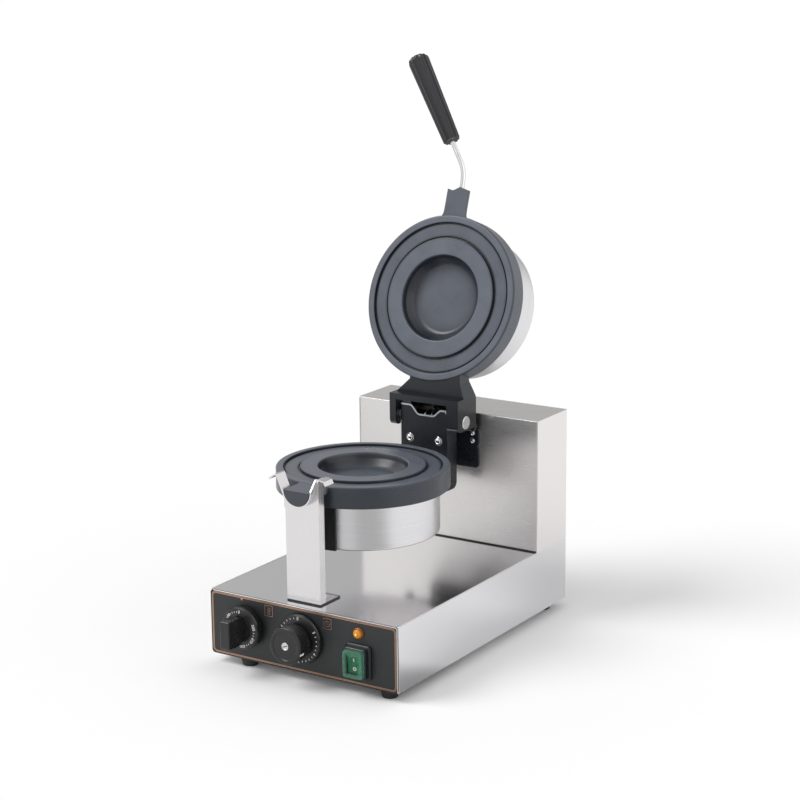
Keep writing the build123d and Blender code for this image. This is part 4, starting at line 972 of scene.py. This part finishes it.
def footGrid():
    # a rubber foot: a flared puck with a screw recess and a bead round its tread
    hole, recess, seat, top = 2.05, 4.4, 4.95, 11.0
    line = [
        (hole, seat), (recess, seat), (recess, 0.4), (4.9, 0.0), (8.2, 0.0), (9.0, 0.9), (9.3, 4.0), (10.0, 5.2),
        (10.0, 10.6), (9.6, top), (hole, top), (hole, seat),
    ]
    return turned(corners(line, [0, 0.2, 0.2, 0.2, 0.5, 0.5, 0.6, 0.6, 0.2, 0.2, 0, 0], 3), 72)


feet = [placed(footGrid(), move(x, y, 0)) for x, y in footPlaces]
addPiece("feet", feet, "base", "rubber", "rubber", ["feet"], 34)
print("stage: feet")


# hinge: its pieces' sizes, with heights and distances counted from the pin's middle line unless a name says otherwise

bracketForm = {
    "half": 32.0, "face": 75.5, "leftTop": 16.5, "rightTop": 14.0, "floor": 6.0, "dip": 2.5, "dipHalf": 11.0,
    "slope": 9.0, "wide": 1.9, "proud": 0.3, "notch": 4.2, "back": 12.0,
}
ringForm = {"places": (-1.0, 8.0), "inner": 8.06, "outer": 10.8, "thick": 1.0}
screwForm = {
    "x": 19.6, "washer": 5.2, "washerThick": 0.7, "head": 3.7, "height": 2.9, "neck": 0.5, "shank": 2.5,
    "reach": 13.7, "nutFrom": 9.0, "nut": 4.6, "nutHeight": 3.2,
}
coverForm = {"line": ((12.5, -6.0), (12.5, 5.0), (4.0, 16.4)), "half": 28.7, "thick": 1.2, "bend": 5.0}
apronForm = {"half": 52.0, "top": -9.7, "low": -38.0, "front": 113.6, "back": 115.8, "corner": 6.0, "edge": 0.5}
bearingCapForm = {"x": 44.0, "z": 4.7, "face": 112.8, "radius": 2.7, "high": 1.3, "sink": 0.4}


def bracketGrids(half, face, leftTop, rightTop, floor, dip, dipHalf, slope, wide, proud, notch, back):
    # a bright flat bar along the bracket's top line, a painted highlight on its edge, half inside its face: plateau,
    # dip, plateau, then back along the cheek
    top = [
        (-half, leftTop), (dip - dipHalf - slope, leftTop), (dip - dipHalf, floor), (dip + dipHalf, floor),
        (dip + dipHalf + slope, rightTop), (half - 2.0, rightTop), (half, rightTop - notch),
    ]
    flat = corners(top, [0, 6, 7, 7, 5, 0.8, 0], 8)
    line = np.stack([flat[:, 0], np.full(len(flat), face), flat[:, 1] - (wide / 2 - proud)], -1)
    side = rightTop - notch + 0.4
    cheek = finer(np.array([(half, face, side - 0.6), (half, face + back, side)]), 3.0)
    bars = ((line, (0, -1, 0)), (cheek, (1, 0, 0)))
    return [placed(ribbon(path, wide, 2 * proud, normal), onHinge) for path, normal in bars]


def ringGrids(places, inner, outer, thick):
    # a square section turned round the pin
    section = corners([(inner, 0), (outer, 0), (outer, thick), (inner, thick), (inner, 0)], [0, 0.3, 0.3, 0, 0], 3)
    return [placed(turned(section, 64), onHinge @ move(x, hingeY, 0) @ turn("Y", 90)) for x in places]


def screwGrids(x, washer, washerThick, head, height, neck, shank, reach, nutFrom, nut, nutHeight):
    # one line from the dome's crown over head, washer and shank to its tip, turned;
    # the nut behind is a line turned with six sides
    dome = domeLine(head, washerThick + neck, height - washerThick - neck, 10)
    rest = [
        (head, washerThick), (washer - 0.3, washerThick), (washer, washerThick - 0.3),
        (washer, 0.0), (shank, 0.0), (shank, -reach), (0, -reach),
    ]
    screw = turned(np.concatenate([dome, rest]), 48)
    nutLine = np.array([(shank, 0), (nut, 0), (nut, nutHeight), (shank, nutHeight), (shank, 0)])
    nutGrid = turned(nutLine - np.array([0, nutFrom + nutHeight]), 6)
    stands = [move(rotorX + side, bracketForm["face"], axisZ) @ facing for side in (-x, x)]
    return [placed(grid, m) for m in stands for grid in (screw, nutGrid)]


def coverGrid(line, half, thick, bend):
    # a flat bar as thick as the sheet carried along the cover's line, as wide as the gap between the cheeks
    path = corners([(0, y, z) for y, z in line], [0, bend, 0], 6)
    return placed(ribbon(path, thick, 2 * half, (1, 0, 0)), onHinge @ move(0, hingeY, 0))


def apronGrid(half, top, low, front, back, corner, edge):
    # the plate's outline stacked from back to front, its front edge rounded by a smaller last ring, both ends closed
    rings = [
        roundedBox(half - inset, (top - low) / 2 - inset, corner) + np.array([0, 0, out])
        for inset, out in ((0.0, 0.0), (0.0, back - front - edge), (edge, back - front))
    ]
    return placed(capped(np.stack(rings)), move(rotorX, back, axisZ + (top + low) / 2) @ facing)


def bearingCapGrids(x, z, face, radius, high, sink):
    # a low dome on each of the four bearing screws
    dome = turned(np.concatenate([domeLine(radius, 0, high, 9), [(radius, -sink), (0, -sink)]]), 40)
    stands = [move(rotorX + side, face, axisZ + up) @ facing for side in (-x, x) for up in (-z, z)]
    return [placed(dome, m) for m in stands]


addPiece("pinCover", [coverGrid(**coverForm)], "rotor", "black_iron", "strapBlack", sharpAngle=40)
addPiece("bearingApron", [apronGrid(**apronForm)], "base", "black_iron", "hingeBlack", sharpAngle=34)
addPiece("bearingCaps", bearingCapGrids(**bearingCapForm), "base", "bright_steel", "brightSteel", sharpAngle=40)
# painted highlight along the bracket's top edge
addPiece("bracketEdge", bracketGrids(**bracketForm), "rotor", "black_iron", "wearAndPaintedHighlight", sharpAngle=40)
addPiece("pinRings", ringGrids(**ringForm), "rotor", "bright_steel", "wearAndPaintedHighlight", sharpAngle=34)
addPiece("bracketScrews", screwGrids(**screwForm), "rotor", "bright_steel", "brightSteel", ["bracket_screws"], 34)
print("stage: hinge")


# base: painted highlights along the folded edges and the panel's top edge, a painted shadow under the support's foot,
# and the seal under the housing's face

baseForm = {"half": 125.0, "top": 86.0, "housingFront": 115.8, "housingTop": 245.0}
panelEdgeForm = {"low": 13.0, "wide": 0.95, "proud": 0.12}
footShadowForm = {"half": 22.25, "front": -172.7, "back": -135.7, "wide": 0.9, "high": 1.7}
foldForm = {"wide": 0.9, "proud": 0.35, "short": 1.0}
housingSealForm = {"size": 1.5, "short": 1.5}
half, baseTop, housingFront, housingTop = pick(baseForm, "half", "top", "housingFront", "housingTop")


def panelEdgeGrid(low, wide, proud):
    # a thin bright flat bar along the top of the panel and down its right side, a painted highlight on the fold
    right, top = half - wide / 2, baseTop - wide / 2
    line = corners([(-half + 4.0, top), (right, top), (right, low)], [0, 3.0, 0], 6)
    return flatLine(line, wide, onFace(0, 0), 2 * proud)


def footShadowGrid(half, front, back, wide, high):
    # a painted shadow round the foot where it stands on the base: a dark flat bar carried along its rectangle
    line = roundedBox(half, (back - front) / 2, 0.6, 3)
    return flatLine(line, wide, move(rotorX, (back + front) / 2, baseTop + high / 2), high, closed=True)


def foldGrids(wide, proud, short):
    # narrow round bars along the folded edges that catch the light, coloured brighter than the sheet as a painted
    # highlight: the base's two sides, and the housing's front edges up, across and down
    x, high = half - wide / 2, housingTop - wide / 2
    top, face = baseTop - wide / 2 + proud, housingFront + wide / 2 - proud
    lines = [[(side, y, top) for y in (front + short, 0, housingFront - short)] for side in (-x, x)]
    hoop = corners([(-x, baseTop), (-x, high), (x, high), (x, baseTop)], [0, 0.6, 0.6, 0], 3)
    hoop = np.stack([hoop[:, 0], np.full(len(hoop), face), hoop[:, 1]], -1)
    grids = [ribbon(line, wide, wide, (0, 0, 1)) for line in lines] + [ribbon(hoop, wide, wide, (0, -1, 0))]
    return [grid * mm for grid in grids]


def housingSealGrid(size, short):
    # a dark bead where the housing's face stands on the base
    line = [(x, housingFront - size / 4, baseTop + size / 2) for x in (-half + short, 0, half - short)]
    return ribbon(line, size / 2, size, (0, 0, 1)) * mm


# painted highlights on the folds and the panel's edge
addPiece("foldedEdges", foldGrids(**foldForm), "base", "stainless", "paintedHighlightEdge", sharpAngle=60, bevel=0.3)
addPiece("housingSeal", [housingSealGrid(**housingSealForm)], "base", "rubber", "strapBlack", sharpAngle=40)
addPiece("panelEdge", [panelEdgeGrid(**panelEdgeForm)], "base", "stainless", "paintedHighlightEdge", sharpAngle=40)
# painted shadow under the support's foot
addPiece("supportShadowLine", [footShadowGrid(**footShadowForm)], "base", "rubber", "strapBlack", sharpAngle=40)
print("stage: base edges")


# floor, light and camera

studio = {
    # darker sides of the studio, seen only in reflections: heading in degrees from +X towards +Y, width and depth
    "flags": ((-48, 28, 0.48), (-84, 28, 0.26), (112, 40, 0.50), (205, 30, 0.35)),
    "ambient": 0.62, "floorColour": (0.985, 0.985, 0.985), "floorHalf": 40,
    # name, strength, angle and turn of each sun
    "suns": (("keyLight", 1.45, 32, (38, -18, -28)), ("fillLight", 0.35, 60, (52, 30, 60))),
}
white = (1, 1, 1, 1)


def dimmed(tree, direction, isGlossy):
    # 1, less each flag's depth where the direction nears its heading, and only for glossy rays
    total = 0.0
    for heading, width, depth in studio["flags"]:
        at = math.radians(heading)
        inputs = {0: direction, 1: (math.cos(at), math.sin(at), 0)}
        nearness = addNode(tree, "VectorMath", inputs, operation="DOT_PRODUCT").outputs["Value"]
        soft = spread(tree, nearness, 0.0, depth, math.cos(math.radians(width)), 1.0, "SMOOTHSTEP")
        total = calculate(tree, "ADD", total, soft)
    return calculate(tree, "SUBTRACT", 1.0, calculate(tree, "MULTIPLY", total, isGlossy))


def normalised(tree, vector):
    return addNode(tree, "VectorMath", {0: vector}, operation="NORMALIZE").outputs["Vector"]


world = bpy.data.worlds.new("studio")
bpy.context.scene.world = world
world.use_nodes = True
tree = world.node_tree
tree.nodes.clear()
ray = addNode(tree, "LightPath")
isCamera, isGlossy, isThrough = pick(ray.outputs, "Is Camera Ray", "Is Glossy Ray", "Is Transmission Ray")
place = addNode(tree, "TexCoord").outputs["Generated"]
level = addNode(tree, "VectorMath", {0: place, 1: (1, 1, 0)}, operation="MULTIPLY").outputs["Vector"]
backStrength = dimmed(tree, normalised(tree, level), isGlossy)
ambient = addNode(tree, "Background", {"Color": white, "Strength": studio["ambient"]}).outputs[0]
backdrop = addNode(tree, "Background", {"Color": white, "Strength": backStrength}).outputs[0]
seen = calculate(tree, "MAXIMUM", calculate(tree, "MAXIMUM", isCamera, isGlossy), isThrough)
choose = addNode(tree, "MixShader", {"Fac": seen, 1: ambient, 2: backdrop}).outputs[0]
addNode(tree, "OutputWorld", {"Surface": choose})

far, paper = studio["floorHalf"], studio["floorColour"]
floorMesh = bpy.data.meshes.new("floor")
floorMesh.from_pydata([(-far, -far, 0), (far, -far, 0), (far, far, 0), (-far, far, 0)], [], [(0, 1, 2, 3)])
floor = bpy.data.objects.new("floor", floorMesh)
bpy.context.scene.collection.objects.link(floor)
floorMaterial, tree, shader = newMaterial(paper, roughness=0.9, Specular_IOR_Level=0.0)
heading = normalised(tree, addNode(tree, "TexCoord").outputs["Object"])
isGlossy = addNode(tree, "LightPath").outputs["Is Glossy Ray"]
shade(tree, shader, dimmed(tree, heading, isGlossy), (0, 0, 0), paper)
floorMaterial.name = "floorPaper"
floorMesh.materials.append(floorMaterial)

for name, strength, angle, degrees in studio["suns"]:
    lamp = bpy.data.lights.new(name, "SUN")
    lamp.energy = strength
    lamp.angle = math.radians(angle)
    holder = bpy.data.objects.new(name, lamp)
    holder.rotation_euler = [math.radians(d) for d in degrees]
    bpy.context.scene.collection.objects.link(holder)

view = {
    "place": (1.2746, -1.9401, 0.8432), "yaw": 33.1, "pitch": 13.64, "roll": -0.61, "focal": 2094.2,
    "pixels": 800.0, "sensor": 36.0, "far": 200,
}
yaw, pitch, roll = (math.radians(angle) for angle in pick(view, "yaw", "pitch", "roll"))
ahead = Vector((-math.sin(yaw) * math.cos(pitch), math.cos(yaw) * math.cos(pitch), -math.sin(pitch)))
right = Vector((math.cos(yaw), math.sin(yaw), 0))
above = right.cross(ahead)
tiltedRight = math.cos(roll) * right + math.sin(roll) * above
tiltedUp = -math.sin(roll) * right + math.cos(roll) * above
lensData = bpy.data.cameras.new("photoView")
lensData.sensor_width = view["sensor"]
lensData.lens = view["focal"] * view["sensor"] / view["pixels"]
lensData.clip_end = view["far"]
camera = bpy.data.objects.new("photoView", lensData)
axes = Matrix((tiltedRight, tiltedUp, -ahead)).transposed()
camera.matrix_world = Matrix.Translation(view["place"]) @ axes.to_4x4()
bpy.context.scene.collection.objects.link(camera)
bpy.context.scene.camera = camera
bpy.context.scene.view_settings.view_transform = "Standard"
print("stage: light and camera")
